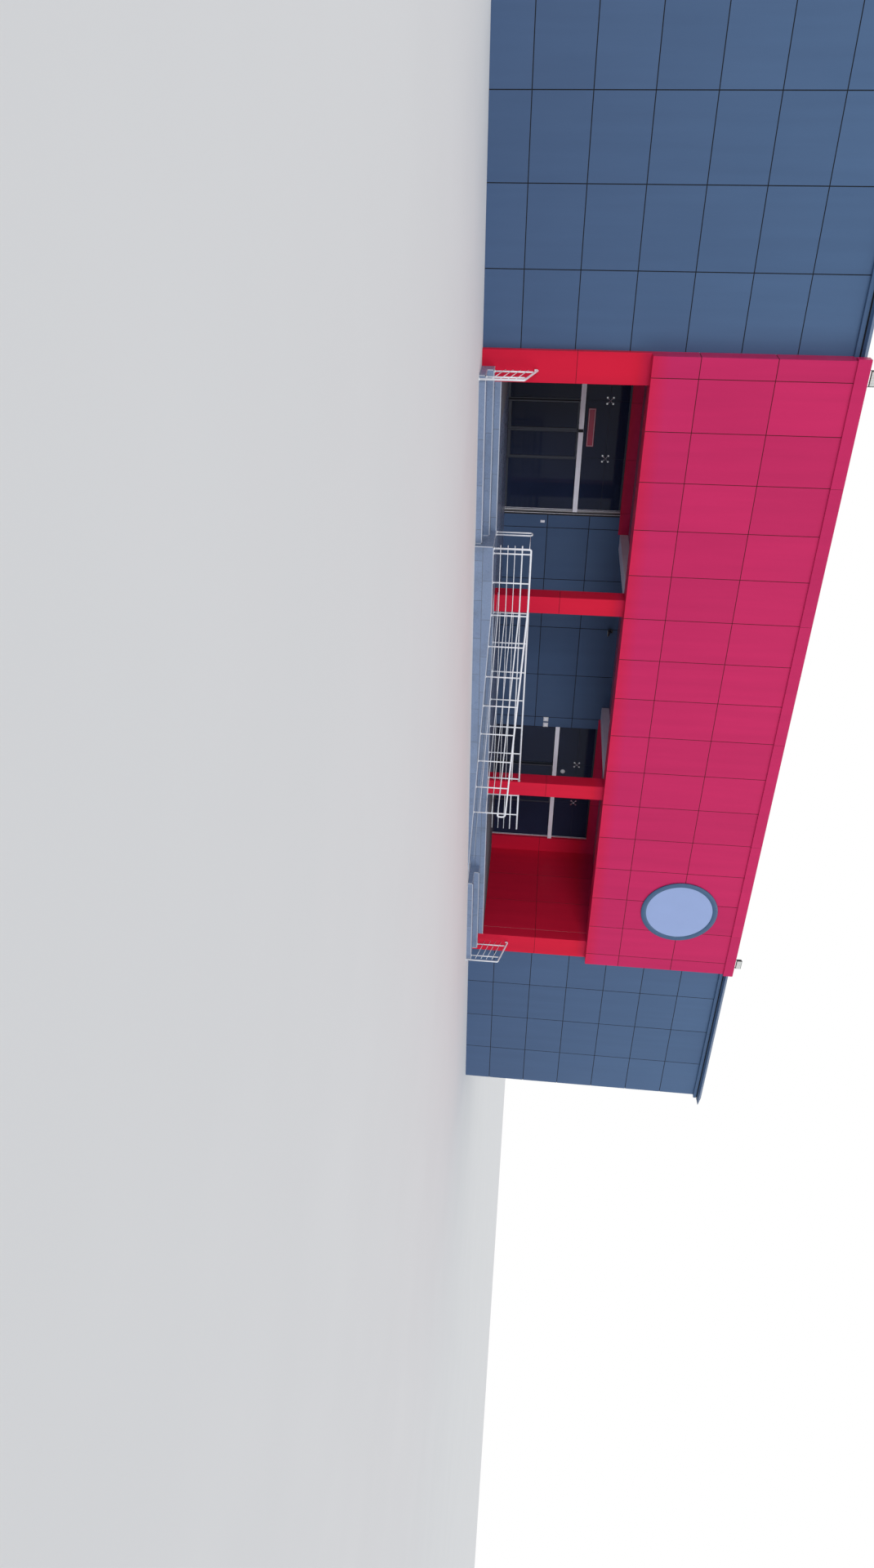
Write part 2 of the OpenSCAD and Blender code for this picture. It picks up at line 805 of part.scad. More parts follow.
// A level run of railing along the platform's edge: posts from x0 to x1, rails out to both ends
module level_run(x0, x1, left, right) {
    y = -pier_out + rail_inset;
    top = floor_z + rail_mid;
    spaces = ceil((x1 - x0) / post_gap);
    for (i = [0 : spaces])
        post(x0 + i * (x1 - x0) / spaces, y, floor_z, top);
    bar([left, y, top], [right, y, top], top_rail_d);
    lower_rails([[left, y, top], [right, y, top]]);
}

// Beside the ramp from the left column on, broken by the right column that it is fixed to
module platform_railing() {
    face = column_w / 2;
    beside = face + rail_inset;
    color(metal) {
        level_run(
            left_column_x + beside, right_column_x - beside, left_column_x + face, right_column_x - face
        );
        level_run(
            right_column_x + beside, platform_rail_end - rail_overhang, right_column_x + face, platform_rail_end
        );
    }
}

// Two lamp heads with cooling fins, each held between the two arms of a yoke on the coping
module floodlights() {
    yoke_t = 8;
    arm_w = 40;
    lift = 60;
    shell = 0.4 * lamp_d;
    fins = 9;
    fin_w = 6;
    color(pale) for (side = [-1, 1])
        translate([side * (half - lamp_inset), lamp_h / 2 - fascia_out, wall_top + coping_h]) {
            for (x = [-lamp_w / 2 - yoke_t, lamp_w / 2])
                translate([x, -arm_w / 2, 0]) cube([yoke_t, arm_w, lamp_h]);
            raised(0, yoke_t) area(-lamp_w / 2, lamp_w / 2, -arm_w / 2, arm_w / 2);
            raised(lift, lamp_h) {
                area(-lamp_w / 2, lamp_w / 2, -lamp_d / 2, shell - lamp_d / 2);
                for (i = [0 : fins - 1])
                    let(x = -lamp_w / 2 + i * (lamp_w - fin_w) / (fins - 1))
                        area(x, x + fin_w, shell - lamp_d / 2, lamp_d / 2);
            }
        }
}

floor_slab();
left_steps();
right_steps();
ramp();
left_front_wall();
right_front_wall();
upper_front_wall();
left_side_wall();
right_side_wall();
rear_wall();
roof();
left_cornice();
right_cornice();
rear_cornice();
left_pier();
right_pier();
left_column();
right_column();
portal_beam();
fascia();
fascia_coping();
porch_left_wall();
porch_right_wall();
porch_middle_wall();
porch_end_strip();
exit_lintel();
entrance_lintel();
porch_ceiling();
left_ceiling_beam();
right_ceiling_beam();
exit_frame();
exit_glass();
exit_header();
exit_left_leaf();
exit_right_leaf();
entrance_frame();
entrance_glass();
entrance_header();
entrance_left_leaf();
entrance_right_leaf();
left_stair_railing();
right_stair_railing();
ramp_railing();
platform_railing();
floodlights();
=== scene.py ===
import math

import bmesh
import bpy
from bpy.props import FloatProperty, FloatVectorProperty, IntProperty, PointerProperty
from mathutils import Matrix, Vector
from mathutils.geometry import interpolate_bezier


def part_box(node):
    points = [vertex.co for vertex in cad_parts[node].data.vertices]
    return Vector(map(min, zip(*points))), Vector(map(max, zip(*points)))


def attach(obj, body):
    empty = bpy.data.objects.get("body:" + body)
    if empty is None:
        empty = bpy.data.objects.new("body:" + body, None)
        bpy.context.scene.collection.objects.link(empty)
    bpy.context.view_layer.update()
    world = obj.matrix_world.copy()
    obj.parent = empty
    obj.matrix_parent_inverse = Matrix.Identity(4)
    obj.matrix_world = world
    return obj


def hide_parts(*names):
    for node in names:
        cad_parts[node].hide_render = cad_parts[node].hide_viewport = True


bl_info = {
    "name": "Supermarket Front",
    "version": (1, 0, 0),
    "blender": (4, 5, 0),
    "location": "View3D > Sidebar > Supermarket",
    "description": "Dresses the packed supermarket model with cladding, glazing, railings and finishes",
    "category": "Add Mesh",
}

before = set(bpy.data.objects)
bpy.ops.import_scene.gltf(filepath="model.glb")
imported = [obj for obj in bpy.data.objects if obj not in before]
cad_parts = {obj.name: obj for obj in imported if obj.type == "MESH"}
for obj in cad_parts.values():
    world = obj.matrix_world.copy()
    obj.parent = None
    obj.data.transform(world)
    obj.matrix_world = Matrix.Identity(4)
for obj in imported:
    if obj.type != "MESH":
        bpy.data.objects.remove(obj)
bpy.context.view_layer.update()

BUILDING = "building"
X, Y, Z = 0, 1, 2

# A piece's first finish, the one in its joints, and its third, such as plaster or trim
MAIN, JOINT, THIRD = 0, 1, 2

GREY_WALL = ("cladding", "cladding_joint", "plaster")
RED_SHEET = ("red", "red_joint")
RED_WALL = ("red", "red_joint", "plaster")
TILING = ("tile", "grout", "trim")

# Shares of the fascia's joint width: in piers and porch walls, and in soffits and lintels
PIER_SHARE, SOFFIT_SHARE = 0.6, 0.5

# Levels and points nearer than this count as one
CLOSE = 1e-5
TRIM_SHEET = 0.0015

# Rates and spread of the sine that scatters the tones of panels, by joints passed, side and level
TONE_WAVES = (12.9898, 78.233, 37.7, 3.1)
TONE_SPREAD = 43758.5453


# Shapes


def unit(axis):
    """The direction of one axis"""
    return Vector([1.0 if i == axis else 0.0 for i in range(3)])


def new_verts(result):
    """The vertices in what an operator returns"""
    return [g for g in result["geom"] if isinstance(g, bmesh.types.BMVert)]


def faces_of(verts):
    """The faces that meet at some vertices"""
    return {f for v in verts for f in v.link_faces}


def paint_faces(faces, index):
    """Give some faces one of the piece's finishes"""
    for face in faces:
        face.material_index = index


def add_box(bm, low, high, index=MAIN):
    """A closed box between two corners"""
    low, high = Vector(low), Vector(high)
    verts = bmesh.ops.create_cube(bm, size=1)["verts"]
    bmesh.ops.scale(bm, vec=high - low, verts=verts)
    bmesh.ops.translate(bm, vec=(high + low) / 2, verts=verts)
    paint_faces(faces_of(verts), index)
    return verts


def round_edges(bm, edges, radius, segments=2):
    """Round off some edges"""
    bmesh.ops.bevel(
        bm, geom=list(edges), offset=radius, segments=segments, profile=0.5, affect="EDGES", material=-1
    )


def add_soft_box(bm, low, high, edge, index=MAIN, segments=2):
    """A closed box with rounded edges"""
    verts = add_box(bm, low, high, index)
    round_edges(bm, {e for v in verts for e in v.link_edges}, edge, segments)


def add_run(bm, axis, start, end, outline, index=MAIN):
    """A closed outline of two-number points, drawn square to an axis and extruded along it"""
    a, b = [i for i in range(3) if i != axis]
    verts = []
    for point in outline:
        place = Vector((0, 0, 0))
        place[axis] = start
        place[a] = point[0]
        place[b] = point[1]
        verts.append(bm.verts.new(place))
    cap = bm.faces.new(verts)
    made = bmesh.ops.extrude_face_region(bm, geom=[cap])
    far = new_verts(made)
    bmesh.ops.translate(bm, vec=unit(axis) * (end - start), verts=far)
    faces = faces_of(verts + far)
    bmesh.ops.recalc_face_normals(bm, faces=list(faces))
    paint_faces(faces, index)


def add_disc(bm, centre, radius, depth, axis, segments, index=MAIN, top=None):
    """A closed cylinder round a centre, along an axis; top is the radius of its far end"""
    turn = unit(axis).to_track_quat("Z", "Y").to_matrix().to_4x4()
    made = bmesh.ops.create_cone(
        bm,
        cap_ends=True,
        segments=segments,
        radius1=radius,
        radius2=radius if top is None else top,
        depth=depth,
        matrix=Matrix.Translation(centre) @ turn,
    )
    for face in faces_of(made["verts"]):
        face.smooth = len(face.verts) == 4
        face.material_index = index


def add_ball(bm, centre, radius, segments, index=MAIN):
    """A smooth ball round a centre"""
    made = bmesh.ops.create_uvsphere(
        bm, u_segments=segments, v_segments=segments // 2, radius=radius, matrix=Matrix.Translation(centre)
    )
    for face in faces_of(made["verts"]):
        face.smooth = True
        face.material_index = index
    return made["verts"]


def rounded(points, radius, steps):
    """A path whose inner corners are replaced by arcs, each a curve with the handles that follow an arc"""
    points = [Vector(p) for p in points]
    path = [points[0]]
    for before, corner, after in zip(points, points[1:], points[2:]):
        into = (corner - before).normalized()
        out = (after - corner).normalized()
        turn = into.angle(out)
        if turn < 0.01:
            path.append(corner)
            continue
        room = 0.49 * min((corner - before).length, (after - corner).length)
        back = min(radius * math.tan(turn / 2), room)
        reach = back / math.tan(turn / 2) * 4 / 3 * math.tan(turn / 4)
        start = corner - into * back
        end = corner + out * back
        path += interpolate_bezier(start, start + into * reach, end - out * reach, end, steps + 1)
    path.append(points[-1])
    return path


def add_tube(bm, path, radius, sides=14):
    """A round tube swept along a path, closed at both ends"""
    path = [Vector(p) for p in path]
    steps = [(b - a).normalized() for a, b in zip(path, path[1:])]
    heading = steps[0]
    turn = heading.to_track_quat("Z", "Y")
    place = Matrix.Translation(path[0]) @ turn.to_matrix().to_4x4()
    verts = bmesh.ops.create_circle(bm, cap_ends=True, radius=radius, segments=sides, matrix=place)["verts"]
    every = list(verts)
    edges = list({e for v in verts for e in v.link_edges})
    for i in range(1, len(path)):
        along = steps[i] if i < len(steps) else steps[-1]
        bisector = (steps[i - 1] + along).normalized()
        turn = heading.rotation_difference(bisector) @ turn
        heading = bisector
        there = Matrix.Translation(path[i]) @ turn.to_matrix().to_4x4()
        made = bmesh.ops.extrude_edge_only(bm, edges=edges)
        verts = new_verts(made)
        ring = set(verts)
        edges = [g for g in made["geom"] if isinstance(g, bmesh.types.BMEdge) and set(g.verts) <= ring]
        bmesh.ops.transform(bm, matrix=there @ place.inverted(), verts=verts)
        place = there
        every += verts
    bmesh.ops.edgeloop_fill(bm, edges=edges)
    faces = faces_of(every)
    for face in faces:
        face.smooth = len(face.verts) == 4
    bmesh.ops.recalc_face_normals(bm, faces=list(faces))


def add_trim(bm, axis, start, end, corner, inward, width):
    """An angle trim over an edge along an axis; inward is the way to the solid on each other axis"""
    (a, b), (da, db) = corner, inward
    outline = [
        (a - da * TRIM_SHEET, b - db * TRIM_SHEET),
        (a + da * width, b - db * TRIM_SHEET),
        (a + da * width, b),
        (a, b),
        (a, b + db * width),
        (a - da * TRIM_SHEET, b + db * width),
    ]
    add_run(bm, axis, start, end, outline, THIRD)


def flat_faces(bm, axis, level, low=None, high=None):
    """The faces that lie flat at one level of an axis, within two corners where they are given"""
    found = []
    for face in bm.faces:
        if not all(abs(v.co[axis] - level) < CLOSE for v in face.verts):
            continue
        middle = face.calc_center_median()
        if low is not None and any(middle[i] < low[i] for i in range(3)):
            continue
        if high is not None and any(middle[i] > high[i] for i in range(3)):
            continue
        found.append(face)
    return found


def cut_faces(bm, faces, axis, place, dist=0.0):
    """Divide some faces along a plane square to an axis"""
    edges = {e for f in faces for e in f.edges}
    verts = {v for f in faces for v in f.verts}
    bmesh.ops.bisect_plane(
        bm,
        geom=[*faces, *edges, *verts],
        dist=dist,
        plane_co=unit(axis) * place,
        plane_no=unit(axis),
    )


def scattered_tone(first, second, axis, level):
    """A number from -1 to 1, the same in every run, for a panel behind so many joints each way"""
    wave = first * TONE_WAVES[0] + second * TONE_WAVES[1] + axis * TONE_WAVES[2] + level * TONE_WAVES[3]
    spread = math.sin(wave) * TONE_SPREAD
    return 2 * (spread - math.floor(spread)) - 1


def press_joints(bm, axis, level, inward, cuts, width, depth, low=None, high=None):
    """Press V joints into one flat side. cuts maps an axis to the places of the joints along it"""
    tone = bm.faces.layers.float.get("tone") or bm.faces.layers.float.new("tone")
    for across, places in cuts.items():
        for place in places:
            for offset in (-width / 2, 0, width / 2):
                cut_faces(bm, flat_faces(bm, axis, level, low, high), across, place + offset, CLOSE)
    faces = flat_faces(bm, axis, level, low, high)
    pressed = {
        v
        for f in faces
        for v in f.verts
        if any(abs(v.co[a] - p) < CLOSE for a, places in cuts.items() for p in places)
    }
    for face in faces:
        if any(v in pressed for v in face.verts):
            face.material_index = JOINT
        else:
            middle = face.calc_center_median()
            passed = [sum(p < middle[a] for p in places) for a, places in cuts.items()] + [0]
            face[tone] = scattered_tone(passed[0], passed[1], axis, level)
    bmesh.ops.translate(bm, vec=unit(axis) * inward * depth, verts=list(pressed))


def evenly(low, high, count):
    """The places that divide a length into equal parts"""
    return [low + (high - low) * i / count for i in range(1, count)]


def divided(low, high, width):
    """The places that divide a length into equal parts of about one width"""
    return evenly(low, high, round((high - low) / width))


def finish_piece(bm, name, finishes, nodes=(), body=BUILDING):
    """Make a finished object of a mesh: its finishes, its body and the nodes it stands for"""
    mesh = bpy.data.meshes.new(name)
    bm.to_mesh(mesh)
    bm.free()
    for key in finishes:
        mesh.materials.append(FINISHES[key])
    piece = bpy.data.objects.new(name, mesh)
    bpy.context.scene.collection.objects.link(piece)
    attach(piece, body)
    if nodes:
        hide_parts(*nodes)


def dress(node, key):
    """Give a finish to a solid that keeps its own shape"""
    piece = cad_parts[node]
    if not piece.material_slots:
        piece.data.materials.append(FINISHES[key])
    for place in piece.material_slots:
        place.material = FINISHES[key]


# Materials


# The colour sockets of a Mix node, and the middle part of noise that is spread out
MIX_A, MIX_B, MIX_RESULT = 6, 7, 2
MIDDLE = (0.3, 0.7)
WHITE = (1, 1, 1)


def new_shader(name, roughness, metallic=0.0, gloss=0.5):
    """A material with its Principled shader, ready for its colour and bump"""
    material = bpy.data.materials.get(name)
    if material:
        bpy.data.materials.remove(material)
    material = bpy.data.materials.new(name)
    material.use_nodes = True
    shader = material.node_tree.nodes["Principled BSDF"]
    shader.inputs["Roughness"].default_value = roughness
    shader.inputs["Metallic"].default_value = metallic
    shader.inputs["Specular IOR Level"].default_value = gloss
    return material, material.node_tree, shader


def add_noise(tree, scale, detail=3.0, stretch=(1, 1, 1)):
    """Noise on Object coordinates, stretched along the axes"""
    place = tree.nodes.new("ShaderNodeTexCoord")
    mapping = tree.nodes.new("ShaderNodeMapping")
    mapping.inputs["Scale"].default_value = stretch
    texture = tree.nodes.new("ShaderNodeTexNoise")
    texture.inputs["Scale"].default_value = scale
    texture.inputs["Detail"].default_value = detail
    tree.links.new(place.outputs["Object"], mapping.inputs["Vector"])
    tree.links.new(mapping.outputs["Vector"], texture.inputs["Vector"])
    return texture.outputs["Fac"]


def add_range(tree, value, source, low=0, high=1):
    """Map a value from a source range to another"""
    node = tree.nodes.new("ShaderNodeMapRange")
    node.inputs["From Min"].default_value = source[0]
    node.inputs["From Max"].default_value = source[1]
    node.inputs["To Min"].default_value = low
    node.inputs["To Max"].default_value = high
    tree.links.new(value, node.inputs["Value"])
    return node.outputs["Result"]


def add_mix(tree, amount, first, second, blend="MIX"):
    """Mix two colours, each a colour or another node's output"""
    node = tree.nodes.new("ShaderNodeMix")
    node.data_type = "RGBA"
    node.blend_type = blend
    if isinstance(amount, float):
        node.inputs["Factor"].default_value = amount
    else:
        tree.links.new(amount, node.inputs["Factor"])
    for index, colour in ((MIX_A, first), (MIX_B, second)):
        if isinstance(colour, bpy.types.NodeSocket):
            tree.links.new(colour, node.inputs[index])
        else:
            node.inputs[index].default_value = (*colour[:3], 1)
    return node.outputs[MIX_RESULT]


def add_bump(tree, shader, height, strength, distance):
    """Bump from a height, in metres"""
    node = tree.nodes.new("ShaderNodeBump")
    node.inputs["Strength"].default_value = strength
    node.inputs["Distance"].default_value = distance
    tree.links.new(height, node.inputs["Height"])
    tree.links.new(node.outputs["Normal"], shader.inputs["Normal"])


def panel_tone(tree):
    """The tone of each panel, from -1 to 1"""
    node = tree.nodes.new("ShaderNodeAttribute")
    node.attribute_name = "tone"
    return node.outputs["Fac"]


def height_above_ground(tree):
    """The height of a point in metres"""
    place = tree.nodes.new("ShaderNodeTexCoord")
    split = tree.nodes.new("ShaderNodeSeparateXYZ")
    tree.links.new(place.outputs["Object"], split.inputs["Vector"])
    return split.outputs["Z"]


def shade(colour, factor):
    """A darker or lighter colour"""
    return [min(1.0, c * factor) for c in colour[:3]]


def coated_panels(name, colour, sheen_colour, sheen_heights, roughness, shine):
    """Painted sheet that changes with each panel and is streaked by rain; between two heights it shifts to
    its top colour, a painted sky reflection
    """
    material, tree, shader = new_shader(name, roughness, 0.0, shine)
    # Painted sky reflection: the colour shifts to the sheened top colour between two heights
    sheen_share = add_range(tree, height_above_ground(tree), sheen_heights)
    paint = add_mix(tree, sheen_share, colour, sheen_colour)
    tone = add_range(tree, panel_tone(tree), (-1, 1))
    varied = add_mix(tree, tone, (0.91, 0.92, 0.93), WHITE)
    paint = add_mix(tree, 1.0, paint, varied, "MULTIPLY")
    streaks = add_range(tree, add_noise(tree, 2.2, 4, (1.6, 1.6, 0.12)), (0.35, 0.75))
    weather = add_mix(tree, streaks, WHITE, (0.92, 0.92, 0.93))
    paint = add_mix(tree, 1.0, paint, weather, "MULTIPLY")
    tree.links.new(paint, shader.inputs["Base Color"])
    gloss = add_range(tree, add_noise(tree, 0.9, 2), MIDDLE, roughness - 0.06, roughness + 0.08)
    tree.links.new(gloss, shader.inputs["Roughness"])
    add_bump(tree, shader, add_noise(tree, 0.7, 1), 0.25, 0.02)
    return material


def plain_coat(name, colour, roughness=0.35, metallic=0.0, scale=9.0, change=0.9, bump=0.002):
    """A painted or plated finish with faint clouding and an uneven skin"""
    material, tree, shader = new_shader(name, roughness, metallic)
    cloud = add_range(tree, add_noise(tree, scale, 4), MIDDLE)
    paint = add_mix(tree, cloud, colour, shade(colour, change))
    tree.links.new(paint, shader.inputs["Base Color"])
    dullest = min(1, roughness * 1.2)
    gloss = add_range(tree, add_noise(tree, scale * 2.7, 3), MIDDLE, roughness * 0.85, dullest)
    tree.links.new(gloss, shader.inputs["Roughness"])
    add_bump(tree, shader, add_noise(tree, scale * 6, 2), 0.3, bump)
    return material


def brushed_metal(name, colour, roughness, stretch, metallic=0.9):
    """Metal with fine lines along its length"""
    material, tree, shader = new_shader(name, roughness, metallic)
    lines = add_noise(tree, 60, 3, stretch)
    paint = add_mix(tree, add_range(tree, lines, MIDDLE), colour, shade(colour, 0.86))
    tree.links.new(paint, shader.inputs["Base Color"])
    gloss = add_range(tree, lines, (0.2, 0.8), roughness - 0.08, roughness + 0.1)
    tree.links.new(gloss, shader.inputs["Roughness"])
    add_bump(tree, shader, lines, 0.15, 0.001)
    return material


def glazed_tile(name, colour, roughness=0.3):
    """Speckled floor tile that changes a little from tile to tile"""
    material, tree, shader = new_shader(name, roughness)
    speckle = add_range(tree, add_noise(tree, 90, 4), (0.42, 0.62))
    paint = add_mix(tree, speckle, colour, shade(colour, 0.8))
    tone = add_range(tree, panel_tone(tree), (-1, 1))
    varied = add_mix(tree, tone, (0.87, 0.88, 0.9), WHITE)
    paint = add_mix(tree, 1.0, paint, varied, "MULTIPLY")
    dirt = add_range(tree, add_noise(tree, 1.7, 5), (0.5, 0.75))
    soiled = add_mix(tree, dirt, WHITE, (0.82, 0.8, 0.77))
    paint = add_mix(tree, 1.0, paint, soiled, "MULTIPLY")
    tree.links.new(paint, shader.inputs["Base Color"])
    gloss = add_range(tree, add_noise(tree, 5, 3), MIDDLE, roughness - 0.08, roughness + 0.15)
    tree.links.new(gloss, shader.inputs["Roughness"])
    add_bump(tree, shader, speckle, 0.15, 0.001)
    return material


def tinted_glass(name, colour, opacity):
    """Dark sun-control glass: it mirrors the daylight and lets little through"""
    material, tree, shader = new_shader(name, 0.03, 0.0, 0.1)
    smear = add_range(tree, add_noise(tree, 1.3, 4), (0.35, 0.7), 0.02, 0.07)
    tree.links.new(smear, shader.inputs["Roughness"])
    tint = add_mix(tree, add_range(tree, add_noise(tree, 0.5, 2), MIDDLE), colour, shade(colour, 0.7))
    tree.links.new(tint, shader.inputs["Base Color"])
    shader.inputs["IOR"].default_value = 1.52
    shader.inputs["Alpha"].default_value = opacity
    return material


FINISHES = {}


# Settings


def length(name, description, default, **limits):
    """A length setting"""
    return FloatProperty(name=name, description=description, default=default, unit="LENGTH", **limits)


def swatch(name, description, default):
    """A colour setting"""
    return FloatVectorProperty(name=name, description=description, default=default, subtype="COLOR")


class CladdingSettings(bpy.types.PropertyGroup):
    """Sizes and colours of the metal cassettes on the wings, the sides and the rear"""

    panel_width: length("Panel Width", "Width of one cassette", 1.83, min=0.6, max=3)
    row_height: length("Row Height", "Height of a row of cassettes", 1.38, min=0.5, max=2.5)
    top_row: length("Top Row", "Height from the wall's top to its first joint", 1.35, min=0.5, max=2.5)
    joint_width: length("Joint Width", "Width of the open joints", 0.024, min=0.005, max=0.05)
    joint_depth: length("Joint Depth", "Depth of the open joints", 0.020, min=0.002, max=0.05)
    colour: swatch("Colour", "Grey of the cassettes near the ground", (0.055, 0.100, 0.196))
    # The top grey carries a painted sky sheen, lighter and bluer than the grey near the ground
    sheen_colour: swatch("High Colour", "Grey of the cassettes under the cornice", (0.064, 0.122, 0.232))
    joint_colour: swatch("Joint Colour", "Colour inside the joints", (0.012, 0.017, 0.028))


class FasciaSettings(bpy.types.PropertyGroup):
    """Sizes and colours of the red fascia, its coping, the piers and the columns"""

    panel_count: IntProperty(
        name="Panels", description="Wide panels between the two end strips", default=15, min=4, max=40
    )
    panel_width: length("Panel Width", "Width of one fascia panel", 1.3266, min=0.5, max=3)
    row_height: length("Row Height", "Height of the upper rows", 1.88, min=0.5, max=3)
    joint_width: length("Joint Width", "Width of the fine joints", 0.02, min=0.003, max=0.04)
    joint_depth: length("Joint Depth", "Depth of the fine joints", 0.014, min=0.002, max=0.04)
    pier_joint: length("Pier Joint", "Height of the joint in piers and columns", 2.42)
    colour: swatch("Colour", "Red of piers, columns and the porch", (0.63, 0.011, 0.042))
    # The top red carries a painted sky sheen, pinker than the red of the piers; it lies mostly on the fascia
    # and its coping
    sheen_colour: swatch("High Colour", "Red of the fascia and its coping", (0.545, 0.022, 0.114))
    joint_colour: swatch("Joint Colour", "Colour inside the joints", (0.12, 0.004, 0.012))


class PorchSettings(bpy.types.PropertyGroup):
    """Sizes and colours of the porch and its tiled platform"""

    tile_length: length("Tile Length", "Length of a tile along the front", 1.18, min=0.2)
    tile_depth: length("Tile Depth", "Depth of a tile across the platform", 0.59, min=0.2)
    grout: length("Grout", "Width of the grout lines", 0.012, min=0.002, max=0.03)
    trim: length("Edge Trim", "Width of the trims on the edges", 0.022, min=0.005)
    tile_colour: swatch("Tile Colour", "Colour of the tiles", (0.20, 0.265, 0.40))
    trim_colour: swatch("Trim Colour", "Colour of the edge trims", (0.50, 0.54, 0.62))
    ceiling_colour: swatch("Ceiling Colour", "Colour of the ceiling", (0.42, 0.14, 0.24))
    beam_colour: swatch("Beam Colour", "Colour of the beams", (0.84, 0.78, 0.86))


class GlazingSettings(bpy.types.PropertyGroup):
    """Colours and small parts of the two glazed fronts"""

    glass_colour: swatch("Glass Colour", "Tint of the glass", (0.018, 0.027, 0.062))
    opacity: FloatProperty(
        name="Opacity",
        description="How much of the hall the glass hides",
        default=0.9,
        min=0,
        max=1,
        subtype="FACTOR",
    )
    bar_colour: swatch("Bar Colour", "Colour of the glazing bars", (0.035, 0.042, 0.06))
    header_colour: swatch("Header Colour", "Colour of the door headers", (0.9, 0.9, 0.98))
    holder_height: length("Holder Height", "Height of the glass holders", 3.63)
    holder_place: length("Holder Place", "Distance of a holder from the doorway's middle", 0.89)
    holder_reach: length("Holder Reach", "Reach of a holder's arms, sideways and up", 0.09)


class RailingSettings(bpy.types.PropertyGroup):
    """Sizes and colour of the tube railings"""

    top_rail: length("Top Rail", "Diameter of the top rail", 0.054, min=0.02, max=0.08)
    second_rail: length("Second Rail", "Diameter of the second rail", 0.038, min=0.01, max=0.08)
    post: length("Post", "Diameter of a post", 0.04, min=0.02, max=0.08)
    low_rail: length("Lower Rail", "Diameter of a lower rail", 0.02, min=0.01, max=0.05)
    bend: length("Bend", "Radius of the bends in the top rail", 0.045, min=0.03)
    colour: swatch("Colour", "Paint of the railings", (0.80, 0.82, 0.86))


class SignSettings(bpy.types.PropertyGroup):
    """The bare boards in the sign places"""

    disc_x: length("Disc Place", "Middle of the round board", 7.67)
    disc_z: length("Disc Height", "Height of the round board", 7.29)
    disc_radius: length("Disc Radius", "Radius of the round board with its rim", 1.3)
    board_colour: swatch("Board Colour", "Colour of the bare board", (0.27, 0.36, 0.62))
    rim_colour: swatch("Rim Colour", "Colour of the disc's rim", (0.030, 0.088, 0.185))


class StageSettings(bpy.types.PropertyGroup):
    """Camera, lamps and floor of the studio"""

    lens: FloatProperty(
        name="Lens",
        description="Focal length in millimetres",
        default=23.85,
        min=10,
        max=100,
        unit="CAMERA",
    )
    sun: FloatProperty(name="Sun", description="Strength of the sun lamp", default=0.75, min=0, max=10)
    fill: FloatProperty(name="Fill", description="Strength of the low lamp", default=1.3, min=0, max=10)
    sky: FloatProperty(name="Sky", description="Strength of the sky's light", default=0.62, min=0, max=5)
    floor_colour: swatch("Floor Colour", "Colour of the studio floor", (0.84, 0.84, 0.84))


# Operators


class SUPERMARKET_OT_finishes(bpy.types.Operator):
    """Make the paints, metals, tiles and glass"""

    bl_idname = "supermarket.finishes"
    bl_label = "Finishes"

    # Heights between which the painted sky sheen comes in, on the grey cassettes and on the red
    grey_sheen_heights = (1, 9)
    red_sheen_heights = (3.95, 4.75)

    def execute(self, context):
        scene = context.scene
        clad = scene.supermarket_cladding
        fascia = scene.supermarket_fascia
        porch = scene.supermarket_porch
        glazing = scene.supermarket_glazing
        signs = scene.supermarket_signs
        rail_colour = scene.supermarket_railing.colour
        greys = (clad.colour, clad.sheen_colour)
        reds = (fascia.colour, fascia.sheen_colour)
        FINISHES.clear()
        FINISHES.update(
            cladding=coated_panels("grey_cassette", *greys, self.grey_sheen_heights, 0.4, 0.22),
            cladding_joint=plain_coat("open_joint", clad.joint_colour, 0.85, scale=4),
            red=coated_panels("red_cassette", *reds, self.red_sheen_heights, 0.36, 0.1),
            red_joint=plain_coat("red_joint", fascia.joint_colour, 0.8, scale=4),
            plaster=plain_coat("wall_plaster", (0.55, 0.55, 0.54), 0.9, scale=3, change=0.93, bump=0.004),
            ceiling=plain_coat("ceiling_paint", porch.ceiling_colour, 0.6, scale=2, change=0.93),
            beam=plain_coat("beam_paint", porch.beam_colour, 0.6, scale=2, change=0.93),
            ceiling_joint=plain_coat("ceiling_joint", (0.12, 0.06, 0.08), 0.8, scale=4),
            tile=glazed_tile("grey_tile", porch.tile_colour),
            trim=brushed_metal("edge_trim", porch.trim_colour, 0.4, (0.1, 1, 1), 0.4),
            grout=plain_coat("tile_grout", (0.13, 0.15, 0.18), 0.9, scale=20),
            roof=brushed_metal("roof_sheet", (0.56, 0.58, 0.6), 0.45, (0.4, 0.05, 1), 0.5),
            bar=plain_coat("bar_coat", glazing.bar_colour, 0.4, 0.4, scale=14),
            header=brushed_metal("satin_header", glazing.header_colour, 0.42, (0.05, 1, 1), 0.1),
            steel=brushed_metal("fitting_steel", (0.66, 0.67, 0.69), 0.22, (1, 1, 0.2), 0.95),
            glass=tinted_glass("dark_glass", glazing.glass_colour, glazing.opacity),
            rubber=plain_coat("gasket_rubber", (0.014, 0.014, 0.016), 0.75, scale=25),
            rail=plain_coat("rail_paint", rail_colour, 0.28, scale=6, change=0.94),
            lamp=plain_coat("lamp_case", (0.045, 0.05, 0.055), 0.5, 0.3, scale=18),
            lamp_face=plain_coat("lamp_face", (0.58, 0.6, 0.55), 0.25, scale=30),
            board=plain_coat("board_face", signs.board_colour, 0.38, scale=1.2, change=0.95),
            rim=plain_coat("board_rim", signs.rim_colour, 0.4, scale=5),
            plate=plain_coat("plate_red", (0.36, 0.012, 0.06), scale=6, change=0.92),
            white=plain_coat("white_plastic", (0.7, 0.72, 0.74), 0.4, scale=8),
        )
        return {"FINISHED"}


